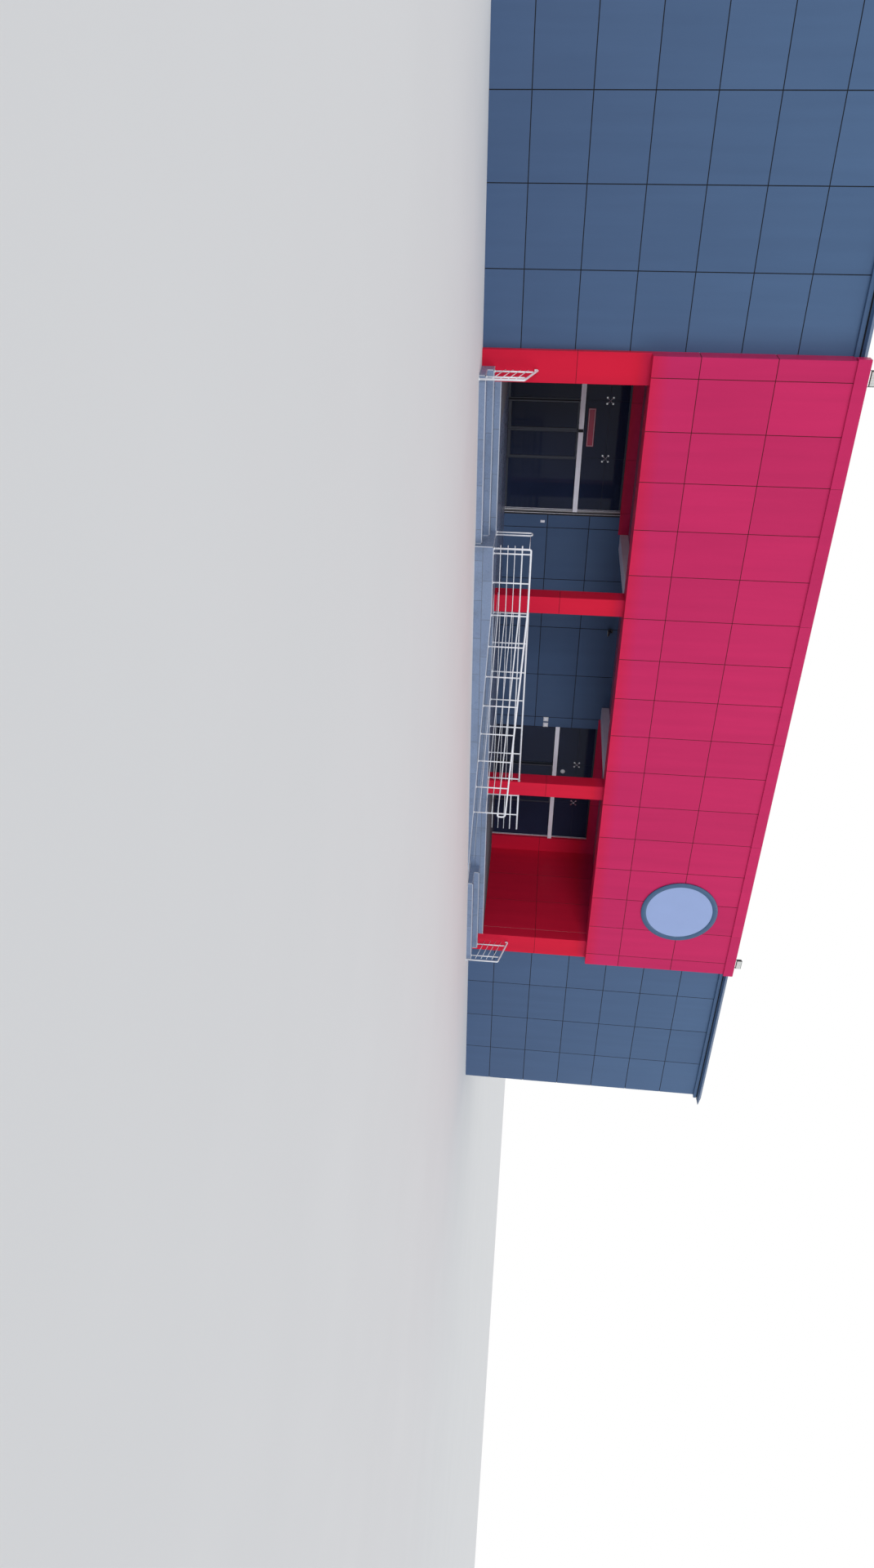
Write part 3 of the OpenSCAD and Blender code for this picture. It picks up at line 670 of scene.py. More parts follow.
def clad_wall(context, node, sides):
    """Dress an outer wall; each side is its axis, its sign and the places of its upright joints"""
    clad = context.scene.supermarket_cladding
    least_row = 0.1
    low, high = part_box(node)
    rows = []
    level = high.z - clad.top_row
    while level > low.z + least_row:
        rows.append(level)
        level -= clad.row_height
    bm = bmesh.new()
    add_box(bm, low, high, THIRD)
    for axis, side, places in sides:
        plane = low[axis] if side < 0 else high[axis]
        paint_faces(flat_faces(bm, axis, plane), MAIN)
        cuts = {Z: rows}
        if places:
            cuts[Y if axis == X else X] = places
        press_joints(bm, axis, plane, -side, cuts, clad.joint_width, clad.joint_depth)
    finish_piece(bm, node + "_cladding", GREY_WALL, [node])


class SUPERMARKET_OT_front_cladding(bpy.types.Operator):
    """Dress the fronts of the two wings with cassettes"""

    bl_idname = "supermarket.front_cladding"
    bl_label = "Front Cladding"

    def execute(self, context):
        width = context.scene.supermarket_cladding.panel_width
        for node, outer in (("left_front_wall", -1), ("right_front_wall", 1)):
            low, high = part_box(node)
            clad_wall(context, node, [(Y, -1, divided(low.x, high.x, width)), (X, outer, [])])
        return {"FINISHED"}


class SUPERMARKET_OT_hall_cladding(bpy.types.Operator):
    """Dress the sides and the rear of the hall with cassettes"""

    bl_idname = "supermarket.hall_cladding"
    bl_label = "Hall Cladding"

    def execute(self, context):
        width = context.scene.supermarket_cladding.panel_width
        for node, side in (("left_side_wall", -1), ("right_side_wall", 1)):
            low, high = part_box(node)
            clad_wall(context, node, [(X, side, divided(low.y, high.y, width))])
        low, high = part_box("rear_wall")
        rear = (Y, 1, divided(low.x, high.x, width))
        clad_wall(context, "rear_wall", [rear, (X, -1, []), (X, 1, [])])
        return {"FINISHED"}


class SUPERMARKET_OT_roof(bpy.types.Operator):
    """Finish the roof sheets and the wall behind the fascia"""

    bl_idname = "supermarket.roof"
    bl_label = "Roof"

    def execute(self, context):
        dress("roof", "roof")
        dress("upper_front_wall", "plaster")
        return {"FINISHED"}


def cornice_leg(bm, axis, start, end, outline, mitres):
    """A straight length of cornice, cut along its mitres: each is a place and the side that is kept"""
    leg = bmesh.new()
    add_run(leg, axis, start, end, outline)
    for place, keep in mitres:
        geom = leg.verts[:] + leg.edges[:] + leg.faces[:]
        bmesh.ops.bisect_plane(leg, geom=geom, dist=1e-6, plane_co=place, plane_no=keep, clear_inner=True)
    mesh = bpy.data.meshes.new("leg")
    leg.to_mesh(mesh)
    leg.free()
    bm.from_mesh(mesh)
    bpy.data.meshes.remove(mesh)


class SUPERMARKET_OT_cornices(bpy.types.Operator):
    """Make the stepped cornice with its pointed nose over the cladding"""

    bl_idname = "supermarket.cornices"
    bl_label = "Cornices"

    # Heights of the lower band, of the groove at its top and of the nose, and how far they stand out
    band = 0.14
    groove = 0.022
    groove_depth = 0.02
    nose = 0.05
    fold = 0.006
    outs = (0.09, 0.16, 0.28, 0.095)

    # Width and depth of a lap, and the lengths that laps divide each side into
    lap = (0.008, 0.006)
    front_lengths = 2
    side_lengths = 7
    rear_lengths = 9

    def execute(self, context):
        front_low, front_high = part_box("left_front_wall")
        corner, half, self.thick = front_low.x, front_high.x, front_high.y
        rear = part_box("rear_wall")[1].y
        self.low, self.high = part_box("left_cornice")
        profile = self.profile()
        for name, mirrored in (("left_cornice", False), ("right_cornice", True)):
            front = [(-out, z) for out, z in profile]
            beside = [(corner - out, z) for out, z in profile]
            bm = bmesh.new()
            cornice_leg(bm, X, corner - 1, half, front, [((corner, 0, 0), (1, -1, 0))])
            cornice_leg(bm, Y, -1, rear - self.thick, beside, [((corner, 0, 0), (-1, 1, 0))])
            self.join_legs(bm)
            press_joints(bm, Y, -self.outs[0], 1, {X: evenly(corner, half, self.front_lengths)}, *self.lap)
            side_laps = {Y: evenly(0, rear, self.side_lengths)}
            press_joints(bm, X, corner - self.outs[0], 1, side_laps, *self.lap)
            if mirrored:
                bmesh.ops.scale(bm, vec=(-1, 1, 1), verts=bm.verts)
                bmesh.ops.reverse_faces(bm, faces=bm.faces)
            finish_piece(bm, name + "_bands", GREY_WALL[:2], [name])
        behind = [(rear + out, z) for out, z in profile]
        ends = [((corner, rear, 0), (1, 1, 0)), ((-corner, rear, 0), (-1, 1, 0))]
        bm = bmesh.new()
        cornice_leg(bm, X, corner - 1, 1 - corner, behind, ends)
        for side, (place, keep) in zip((1, -1), ends):
            beside = [(side * (corner - out), z) for out, z in profile]
            cornice_leg(bm, Y, rear - self.thick, rear + 1, beside, [(place, (-keep[0], -keep[1], 0))])
        self.join_legs(bm)
        rear_laps = {X: evenly(corner, -corner, self.rear_lengths)}
        press_joints(bm, Y, rear + self.outs[0], -1, rear_laps, *self.lap)
        finish_piece(bm, "rear_cornice_bands", GREY_WALL[:2], ["rear_cornice"])
        return {"FINISHED"}

    def profile(self):
        """Points of distance out and height: the band, the groove, the nose and the slope over it"""
        low_out, foot_out, nose_out, top_out = self.outs
        low, high = self.low.z, self.high.z
        middle = low + self.band
        tip = middle + self.nose
        groove = low_out - self.groove_depth
        return [
            (-self.thick, low),
            (low_out - 2 * self.fold, low),
            (low_out, low + 2 * self.fold),
            (low_out, middle - 0.03),
            (groove, middle - self.groove),
            (groove, middle),
            (foot_out - self.fold, middle),
            (foot_out, middle + self.fold),
            (nose_out - 0.004, tip - self.fold),
            (nose_out, tip),
            (nose_out - self.fold, tip + 0.005),
            (top_out, high),
            (-self.thick, high),
        ]

    def join_legs(self, bm):
        """Merge the legs at their mitres, and give the groove and the underside of the upper member the
        joints' dark finish, a painted shade under the upper member
        """
        bmesh.ops.remove_doubles(bm, verts=bm.verts, dist=CLOSE)
        top = self.low.z + self.band
        low, high = top - self.groove - CLOSE, top + CLOSE
        # Painted shade: the groove and the underside of the upper member take the dark joint finish
        paint_faces([f for f in bm.faces if all(low < v.co.z < high for v in f.verts)], JOINT)


class SUPERMARKET_OT_fascia(bpy.types.Operator):
    """Make the panelled fascia box, its coping and the soffit of the portal beam"""

    bl_idname = "supermarket.fascia"
    bl_label = "Fascia"

    # The coping's rounded rim, and the width and depth of its laps
    rim = 0.02
    lap = (0.008, 0.005)

    def execute(self, context):
        sizes = context.scene.supermarket_fascia
        low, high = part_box("fascia")
        beam_low, beam_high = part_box("portal_beam")
        outline = [
            (low.y, low.z),
            (beam_low.y, low.z),
            (beam_low.y, beam_high.z),
            (high.y, beam_high.z),
            (high.y, high.z),
            (low.y, high.z),
        ]
        span = sizes.panel_count * sizes.panel_width / 2
        columns = [-span + sizes.panel_width * i for i in range(sizes.panel_count + 1)]
        rows = [high.z - sizes.row_height, high.z - 2 * sizes.row_height]
        joint = (sizes.joint_width, sizes.joint_depth)
        soffit_joint = (sizes.joint_width * SOFFIT_SHARE, sizes.joint_depth)
        bm = bmesh.new()
        add_run(bm, X, low.x, high.x, outline)
        press_joints(bm, Y, low.y, 1, {X: columns, Z: rows}, *joint)
        for side in (-1, 1):
            press_joints(bm, X, side * high.x, -side, {Z: rows}, *joint)
        press_joints(bm, Z, low.z, 1, {X: columns}, *soffit_joint)
        finish_piece(bm, "fascia_panels", RED_SHEET, ["fascia"])
        bm = bmesh.new()
        add_box(bm, beam_low, beam_high)
        press_joints(bm, Z, beam_low.z, 1, {X: columns}, *soffit_joint)
        press_joints(bm, Y, beam_high.y, -1, {X: columns}, *soffit_joint)
        finish_piece(bm, "portal_soffit", RED_SHEET, ["portal_beam"])
        self.coping(columns)
        return {"FINISHED"}

    def coping(self, columns):
        """The cap of folded sheet over the fascia, with a rounded rim and a lap at every third panel"""
        low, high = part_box("fascia_coping")
        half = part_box("fascia")[1].x
        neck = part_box("portal_beam")[0].y
        outline = [
            (low.x, low.y),
            (high.x, low.y),
            (high.x, neck),
            (half, neck),
            (half, high.y),
            (-half, high.y),
            (-half, neck),
            (low.x, neck),
        ]
        bm = bmesh.new()
        add_run(bm, Z, low.z, high.z, outline)
        round_edges(bm, [e for e in bm.edges if all(v.co.z > high.z - CLOSE for v in e.verts)], self.rim)
        laps = {X: columns[2::3]}
        press_joints(bm, Y, low.y, 1, laps, *self.lap)
        press_joints(bm, Z, high.z, -1, laps, *self.lap)
        finish_piece(bm, "coping_cap", RED_SHEET, ["fascia_coping"])


class SUPERMARKET_OT_piers(bpy.types.Operator):
    """Clad the end piers and the inner columns"""

    bl_idname = "supermarket.piers"
    bl_label = "Piers And Columns"

    corner = 0.006
    # Height and inset of the dark strip at the foot, a painted shadow gap
    base = 0.02
    base_inset = 0.004

    def execute(self, context):
        sizes = context.scene.supermarket_fascia
        joint = (sizes.joint_width * PIER_SHARE, sizes.joint_depth)
        for node in ("left_pier", "right_pier", "left_column", "right_column"):
            low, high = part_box(node)
            bm = bmesh.new()
            add_box(bm, low, high)
            upright = [e for e in bm.edges if abs(e.verts[0].co.z - e.verts[1].co.z) > 1]
            round_edges(bm, upright, self.corner)
            for axis in (X, Y):
                for inward, level in ((1, low[axis]), (-1, high[axis])):
                    press_joints(bm, axis, level, inward, {Z: [sizes.pier_joint]}, *joint)
            # Painted shade: a shallow strip at the foot in the dark joint finish, as a shadow gap
            inset = self.base_inset
            base_high = (high.x - inset, high.y - inset, low.z + self.base)
            add_box(bm, (low.x + inset, low.y + inset, low.z), base_high, JOINT)
            finish_piece(bm, node + "_casing", RED_SHEET, [node])
        return {"FINISHED"}


class SUPERMARKET_OT_porch_walls(bpy.types.Operator):
    """Clad the rear and the sides of the porch"""

    bl_idname = "supermarket.porch_walls"
    bl_label = "Porch Walls"

    # Places of the grey wall's joints, read from the photograph
    grey_columns = (-3.87, -2.06, -0.27, 1.61, 3.39)
    grey_rows = (1.94, 3.3)

    # The panelled stretch of a side wall, and the panels in it and in a lintel
    side_span = (0.25, 4.9)
    panels = 3
    band_sheet = 0.018

    def execute(self, context):
        self.sizes = context.scene.supermarket_fascia
        self.joint = (self.sizes.joint_width * PIER_SHARE, self.sizes.joint_depth)
        self.middle_wall(context.scene.supermarket_cladding)
        self.side_walls()
        self.lintels()
        self.end_strips()
        self.bands()
        return {"FINISHED"}

    def middle_wall(self, clad):
        """The grey wall between the two glazed fronts"""
        low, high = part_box("porch_middle_wall")
        cuts = {X: self.grey_columns, Z: self.grey_rows}
        bm = bmesh.new()
        add_box(bm, low, high, THIRD)
        paint_faces(flat_faces(bm, Y, low.y), MAIN)
        press_joints(bm, Y, low.y, 1, cuts, clad.joint_width, clad.joint_depth)
        finish_piece(bm, "porch_rear_cladding", GREY_WALL, ["porch_middle_wall"])

    def side_walls(self):
        """The red side walls, notched under the portal beam"""
        beam_low, beam_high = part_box("portal_beam")
        for node, side in (("porch_left_wall", 1), ("porch_right_wall", -1)):
            low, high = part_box(node)
            outline = [
                (low.y, low.z),
                (high.y, low.z),
                (high.y, high.z),
                (beam_high.y, high.z),
                (beam_high.y, beam_low.z),
                (low.y, beam_low.z),
            ]
            level = high.x if side > 0 else low.x
            cuts = {Y: evenly(*self.side_span, self.panels), Z: [self.sizes.pier_joint]}
            bm = bmesh.new()
            add_run(bm, X, low.x, high.x, outline, THIRD)
            paint_faces(flat_faces(bm, X, level), MAIN)
            press_joints(bm, X, level, -side, cuts, *self.joint)
            finish_piece(bm, node + "_panels", RED_WALL, [node])

    def lintels(self):
        """The red lintels over the glazed fronts"""
        width = self.sizes.joint_width * SOFFIT_SHARE
        for node in ("exit_lintel", "entrance_lintel"):
            low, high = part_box(node)
            bm = bmesh.new()
            add_box(bm, low, high, THIRD)
            paint_faces(flat_faces(bm, Y, low.y) + flat_faces(bm, Z, low.z), MAIN)
            cuts = {X: evenly(low.x, high.x, self.panels)}
            press_joints(bm, Y, low.y, 1, cuts, width, self.sizes.joint_depth)
            finish_piece(bm, node + "_panels", RED_WALL, [node])

    def end_strips(self):
        """The wall strips beside the glazed fronts"""
        low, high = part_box("porch_end_strip")
        left_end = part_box("exit_lintel")[0].x
        right_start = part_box("entrance_lintel")[1].x
        bm = bmesh.new()
        for start, end in ((low.x, left_end), (right_start, high.x)):
            add_box(bm, (start, low.y, low.z), (end, high.y, high.z))
        press_joints(bm, Y, low.y, 1, {Z: [self.sizes.pier_joint]}, *self.joint)
        paint_faces(flat_faces(bm, Y, high.y), THIRD)
        finish_piece(bm, "porch_strip_panels", RED_WALL, ["porch_end_strip"])

    def bands(self):
        """The thin red casings that carry on from the lintels over the grey wall to the ceiling beams"""
        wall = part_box("porch_middle_wall")[0].y
        low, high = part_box("exit_lintel")
        spans = (
            (high.x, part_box("left_ceiling_beam")[0].x),
            (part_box("right_ceiling_beam")[1].x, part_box("entrance_lintel")[0].x),
        )
        bm = bmesh.new()
        for start, end in spans:
            add_soft_box(bm, (start, wall - self.band_sheet, low.z), (end, wall, high.z), 0.004)
        finish_piece(bm, "porch_band_casings", RED_SHEET)


class SUPERMARKET_OT_porch_ceiling(bpy.types.Operator):
    """Line the porch ceiling and its two beams"""

    bl_idname = "supermarket.porch_ceiling"
    bl_label = "Porch Ceiling"

    # Each joint is its width and its depth
    panels_along = 17
    panels_across = 4
    joint = (0.012, 0.008)
    beam_lengths = 3
    beam_edge = 0.012
    beam_joint = (0.006, 0.004)

    def execute(self, context):
        low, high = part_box("porch_ceiling")
        cuts = {X: evenly(low.x, high.x, self.panels_along), Y: evenly(low.y, high.y, self.panels_across)}
        bm = bmesh.new()
        add_box(bm, low, high)
        press_joints(bm, Z, low.z, 1, cuts, *self.joint)
        finish_piece(bm, "ceiling_lining", ("ceiling", "ceiling_joint"), ["porch_ceiling"])
        for node in ("left_ceiling_beam", "right_ceiling_beam"):
            low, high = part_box(node)
            bm = bmesh.new()
            add_soft_box(bm, low, high, self.beam_edge)
            press_joints(bm, Z, low.z, 1, {Y: evenly(low.y, high.y, self.beam_lengths)}, *self.beam_joint)
            finish_piece(bm, node + "_casing", ("beam", "ceiling_joint"), [node])
        return {"FINISHED"}


class SUPERMARKET_OT_platform(bpy.types.Operator):
    """Tile the platform, the two flights of steps and the ramp"""

    bl_idname = "supermarket.platform"
    bl_label = "Platform"

    upper_tread = 0.37
    landing = 1.85
    front_rows = (0.172, 0.344)
    behind_doors = 0.25
    grout_depth = 0.003

    # The height of the ramp's lower row, where its joints start and end, and the least tile over it
    ramp_row = 0.22
    ramp_start = 0.42
    ramp_rest = 0.3
    least_tile = 0.03

    # How far the ramp's edge trim stops before the foot, and the strip along the wall beside it
    toe = 0.02
    edge_end = 0.45
    kerb_height = 0.12
    kerb_sheet = 0.012

    def execute(self, context):
        self.sizes = context.scene.supermarket_porch
        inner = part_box("left_pier")[1].x
        columns = divided(inner, -inner, self.sizes.tile_length)
        self.floor(inner, columns)
        for node in ("left_steps", "right_steps"):
            self.flight(node, columns)
        self.slope()
        return {"FINISHED"}

    def grout(self, bm, axis, level, inward, cuts, low=None, high=None):
        """Press the grout lines into one flat side"""
        press_joints(bm, axis, level, inward, cuts, self.sizes.grout, self.grout_depth, low, high)

    def floor(self, inner, columns):
        """The hall's plain floor, and the porch's tiled floor and front edge before it"""
        low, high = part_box("floor_slab")
        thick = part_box("left_front_wall")[1].y
        door_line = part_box("porch_middle_wall")[0].y
        last_tile = door_line + self.behind_doors
        outline = [
            (inner, low.y),
            (-inner, low.y),
            (-inner, thick),
            (high.x, thick),
            (high.x, high.y),
            (low.x, high.y),
            (low.x, thick),
            (inner, thick),
        ]
        bm = bmesh.new()
        add_run(bm, Z, low.z, high.z, outline)
        for line in (last_tile, thick):
            cut_faces(bm, flat_faces(bm, Z, high.z), Y, line)
        rows = []
        place = low.y + self.sizes.tile_depth
        while place < door_line:
            rows.append(place)
            place += self.sizes.tile_depth
        porch_low = (inner - 1, low.y - 1, high.z - 1)
        porch_high = (1 - inner, last_tile, high.z + 1)
        self.grout(bm, Z, high.z, -1, {X: columns, Y: rows}, porch_low, porch_high)
        self.grout(bm, Y, low.y, 1, {X: columns, Z: self.front_rows})
        add_trim(bm, X, inner, -inner, (low.y, high.z), (1, -1), self.sizes.trim)
        finish_piece(bm, "platform_tiles", TILING, ["floor_slab"])

    def flight(self, node, columns):
        """Two tiled steps with pale nosings"""
        trim = self.sizes.trim
        end_tile = 0.05
        low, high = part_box(node)
        riser = high.z / 2
        nose = high.y - self.upper_tread
        outline = [(low.y, 0), (high.y, 0), (high.y, high.z), (nose, high.z), (nose, riser), (low.y, riser)]
        bm = bmesh.new()
        add_run(bm, X, low.x, high.x, outline)
        places = [x for x in columns if low.x + end_tile < x < high.x - end_tile]
        for axis, level, inward in ((Y, low.y, 1), (Y, nose, 1), (Z, riser, -1), (Z, high.z, -1)):
            self.grout(bm, axis, level, inward, {X: places})
        for front, rear, foot, top in ((low.y, nose, 0, riser), (nose, high.y, riser, high.z)):
            add_trim(bm, X, low.x, high.x, (front, top), (1, -1), trim)
            for x, inward in ((low.x, 1), (high.x, -1)):
                add_trim(bm, Y, front, rear, (x, top), (inward, -1), trim)
                add_trim(bm, Z, foot, top, (x, front), (inward, 1), trim)
        finish_piece(bm, node + "_tiles", TILING, [node])

    def slope(self):
        """The ramp with its two rows of edge tiles in half bond and its trimmed edges"""
        tile, trim, row = self.sizes.tile_length, self.sizes.trim, self.ramp_row
        low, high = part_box("ramp")
        foot = high.x
        top_end = low.x + self.landing
        bm = bmesh.new()
        add_run(bm, Y, low.y, high.y, [(low.x, 0), (foot, 0), (top_end, high.z), (low.x, high.z)])
        places = []
        place = low.x + self.ramp_start
        while place < foot - self.ramp_rest:
            places.append(place)
            place += tile
        half = tile / 2
        upper = [x + half for x in places if ramp_height(x + half) > row + self.least_tile]
        near, far = low.y - 1, low.y + 1
        self.grout(bm, Y, low.y, 1, {Z: [row]})
        self.grout(bm, Y, low.y, 1, {X: places}, (low.x, near, 0), (foot, far, row - 0.01))
        self.grout(bm, Y, low.y, 1, {X: upper}, (low.x, near, row + 0.01), (foot, far, 1))
        self.grout(bm, X, low.x, 1, {Y: [(low.y + high.y) / 2]})
        for line in places:
            cut_faces(bm, self.walked_faces(bm), X, line)
        made = bmesh.ops.inset_individual(
            bm, faces=self.walked_faces(bm), thickness=self.sizes.grout / 2, depth=0
        )
        paint_faces(made["faces"], JOINT)
        add_trim(bm, X, low.x, top_end, (low.y, high.z), (1, -1), trim)
        add_trim(bm, Y, low.y, high.y, (low.x, high.z), (1, -1), trim)
        add_trim(bm, Z, 0, high.z, (low.x, low.y), (1, 1), trim)
        edge = [
            (top_end, high.z + TRIM_SHEET),
            (foot - self.toe, TRIM_SHEET + 0.001),
            (foot - self.toe, 0),
            (foot - self.edge_end, 0),
            (top_end, high.z - trim - 0.002),
        ]
        add_run(bm, Y, low.y - TRIM_SHEET, low.y + trim, edge, THIRD)
        kerb_foot = self.kerb_height - self.kerb_sheet
        kerb = [
            (top_end, high.z + self.kerb_height),
            (foot, self.kerb_height),
            (foot, kerb_foot),
            (top_end, high.z + kerb_foot),
        ]
        add_run(bm, Y, high.y - self.kerb_sheet, high.y, kerb, THIRD)
        finish_piece(bm, "ramp_tiles", TILING, ["ramp"])

    def walked_faces(self, bm):
        """The faces that people walk on"""
        return [f for f in bm.faces if f.normal.z > 0.5]


def ramp_height(x):
    """Height of the ramp's surface at a place along the front"""
    low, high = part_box("ramp")
    top_end = low.x + SUPERMARKET_OT_platform.landing
    if x < top_end:
        return high.z
    return high.z * (1 - (x - top_end) / (high.x - top_end))


class SUPERMARKET_OT_railings(bpy.types.Operator):
    """Make the tube railings with their posts, flanges and bends"""

    bl_idname = "supermarket.railings"
    bl_label = "Railings"

    # Drops of the lower rails, the gap between posts and the height of the top rail's axis
    drops = (0.24, 0.44, 0.63, 0.83)
    inset = 0.07
    gap = 0.996
    axis_height = 1.013
    rail_sides = 18
    low_sides = 10
    pin = 0.007
    bolt = 0.006

    # Ends and heights of the rail beside the steps, its hook, and its posts with their necks
    stair_back, stair_front = -0.215, -1.25
    stair_upper, stair_lower = 1.44, 1.13
    stair_hook = 0.09
    stair_neck = 0.075
    stair_posts = (-0.41, -1.01)

    # The loop at the ramp's foot, and the double post, the hoop and its tie at the ramp's head
    ramp_spaces = 9
    ring = 0.132
    ring_bend = 0.105
    overhang = 0.1
    second_post = 0.14
    hoop_near, hoop_far = -0.25, -0.05
    hoop_bend = 0.08
    tie_drop = 0.045

    # The line of the platform's rail, its free length past the last post and its rosettes
    platform_line = -0.11
    free_end = 0.6
    rosette = 0.045

    def execute(self, context):
        self.sizes = context.scene.supermarket_railing
        self.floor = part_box("floor_slab")[1].z
        self.stair("left_stair_railing")
        self.stair("right_stair_railing")
        self.beside_ramp()
        self.along_platform()
        return {"FINISHED"}

    def flange(self, bm, x, y, foot, radius):
        """The foot of a post: a bolted plate and a collar"""
        add_disc(bm, (x, y, foot + 0.004), radius * 2.1, 0.008, Z, 20)
        add_disc(bm, (x, y, foot + 0.014), radius * 1.25, 0.014, Z, 16, top=radius * 1.05)
        reach = radius * 1.65
        for turn in range(4):
            angle = math.pi / 4 + turn * math.pi / 2
            place = (x + reach * math.cos(angle), y + reach * math.sin(angle), foot + 0.010)
            add_disc(bm, place, self.bolt, 0.006, Z, 6)

    def post(self, bm, x, y, foot, top, neck=0.0):
        """A post with its flange; with a neck it stops that far below the rail and carries it on a pin"""
        radius = self.sizes.post / 2
        end = top - neck
        add_tube(bm, [(x, y, foot), (x, y, end)], radius)
        if neck:
            add_disc(bm, (x, y, end + 0.004), radius, 0.008, Z, 14, top=radius * 0.6)
            add_tube(bm, [(x, y, end), (x, y, top)], self.pin, 8)
        self.flange(bm, x, y, foot, radius)

    def lower_rails(self, bm, path):
        """The second rail and three thin ones under a path of the top rail"""
        for i, drop in enumerate(self.drops):
            radius = (self.sizes.second_rail if i == 0 else self.sizes.low_rail) / 2
            points = [Vector(p) - Vector((0, 0, drop)) for p in path]
            add_tube(bm, points, radius, 12 if i == 0 else self.low_sides)

    def stair(self, node):
        """A railing that falls beside the steps, from a hook by the pier to its own bent foot"""
        low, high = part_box(node)
        x = (low.x + high.x) / 2
        radius = self.sizes.top_rail / 2
        riser = self.floor / 3
        back, front = self.stair_back, self.stair_front
        upper, lower = self.stair_upper, self.stair_lower
        slope = (upper - lower) / (back - front)
        top = [(x, back, upper - self.stair_hook), (x, back, upper), (x, front, lower), (x, front, 0)]
        bm = bmesh.new()
        add_tube(bm, rounded(top, self.sizes.bend, 8), radius, self.rail_sides)
        self.flange(bm, x, front, 0, radius)
        for y, foot in zip(self.stair_posts, (2 * riser, riser)):
            self.post(bm, x, y, foot, lower + slope * (y - front), self.stair_neck)
        end = front + self.overhang
        for drop in self.drops:
            path = [(x, back, upper - drop), (x, end, lower + slope * (end - front) - drop)]
            add_tube(bm, path, self.sizes.low_rail / 2, self.low_sides)
        finish_piece(bm, node + "_tubes", ("rail",), [node])

    def beside_ramp(self):
        """The railing along the ramp: bent down at the corner, looped at the foot, closed by a hoop"""
        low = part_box("ramp")[0]
        y = low.y + self.inset
        x0 = low.x + self.inset
        top_end = low.x + SUPERMARKET_OT_platform.landing
        top = self.floor + self.axis_height
        rail, post = self.sizes.top_rail / 2, self.sizes.post / 2
        end_x = x0 + self.ramp_spaces * self.gap
        end_z = ramp_height(end_x) + self.axis_height
        ring_x = end_x + self.ring
        ring_z = end_z - (ramp_height(end_x) - ramp_height(ring_x))
        second = self.drops[0]
        leg = rounded([(x0, y, self.floor), (x0, y, top), (top_end, y, top)], self.sizes.bend, 7)
        loop = [
            (top_end, y, top),
            (ring_x, y, ring_z),
            (ring_x, y, ring_z - second),
            (end_x, y, end_z - second),
        ]
        bm = bmesh.new()
        add_tube(bm, leg + rounded(loop, self.ring_bend, 8)[1:], rail, self.rail_sides)
        self.flange(bm, x0, y, self.floor, rail)
        self.lower_rails(bm, [(x0 - self.overhang, y, top), (top_end, y, top), (end_x, y, end_z)])
        self.post(bm, x0 + self.second_post, y, self.floor, top)
        for i in range(1, self.ramp_spaces + 1):
            x = x0 + i * self.gap
            self.post(bm, x, y, ramp_height(x), ramp_height(x) + self.axis_height)
        near, far = self.hoop_near, self.hoop_far
        hoop = [(x0, near, self.floor), (x0, near, top), (x0, far, top), (x0, far, self.floor)]
        add_tube(bm, rounded(hoop, self.hoop_bend, 7), post, 16)
        for place in (near, far):
            self.flange(bm, x0, place, self.floor, post)
        tie = top - self.tie_drop
        add_tube(bm, [(x0, y, tie), (x0, near, tie)], self.sizes.low_rail / 2, self.low_sides)
        finish_piece(bm, "ramp_railing_tubes", ("rail",), ["ramp_railing"])

    def along_platform(self):
        """The level railing along the platform's edge, fixed to the columns on rosettes"""
        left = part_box("left_column")[1].x
        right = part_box("right_column")
        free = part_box("platform_railing")[1].x
        y = self.platform_line
        top = self.floor + self.axis_height
        runs = (
            (left + self.inset, right[0].x - self.inset, left, right[0].x),
            (right[1].x + self.inset, free - self.free_end, right[1].x, free),
        )
        bm = bmesh.new()
        for first, last, start, end in runs:
            spaces = math.ceil((last - first) / self.gap)
            for i in range(spaces + 1):
                self.post(bm, first + (last - first) * i / spaces, y, self.floor, top)
            line = [(start, y, top), (end, y, top)]
            add_tube(bm, line, self.sizes.top_rail / 2, self.rail_sides)
            self.lower_rails(bm, line)
            for x, out in ((start, 1), (end, -1)):
                if abs(x - free) > 0.01:
                    add_disc(bm, (x + out * 0.003, y, top), self.rosette, 0.006, X, 20)
        finish_piece(bm, "platform_railing_tubes", ("rail",), ["platform_railing"])


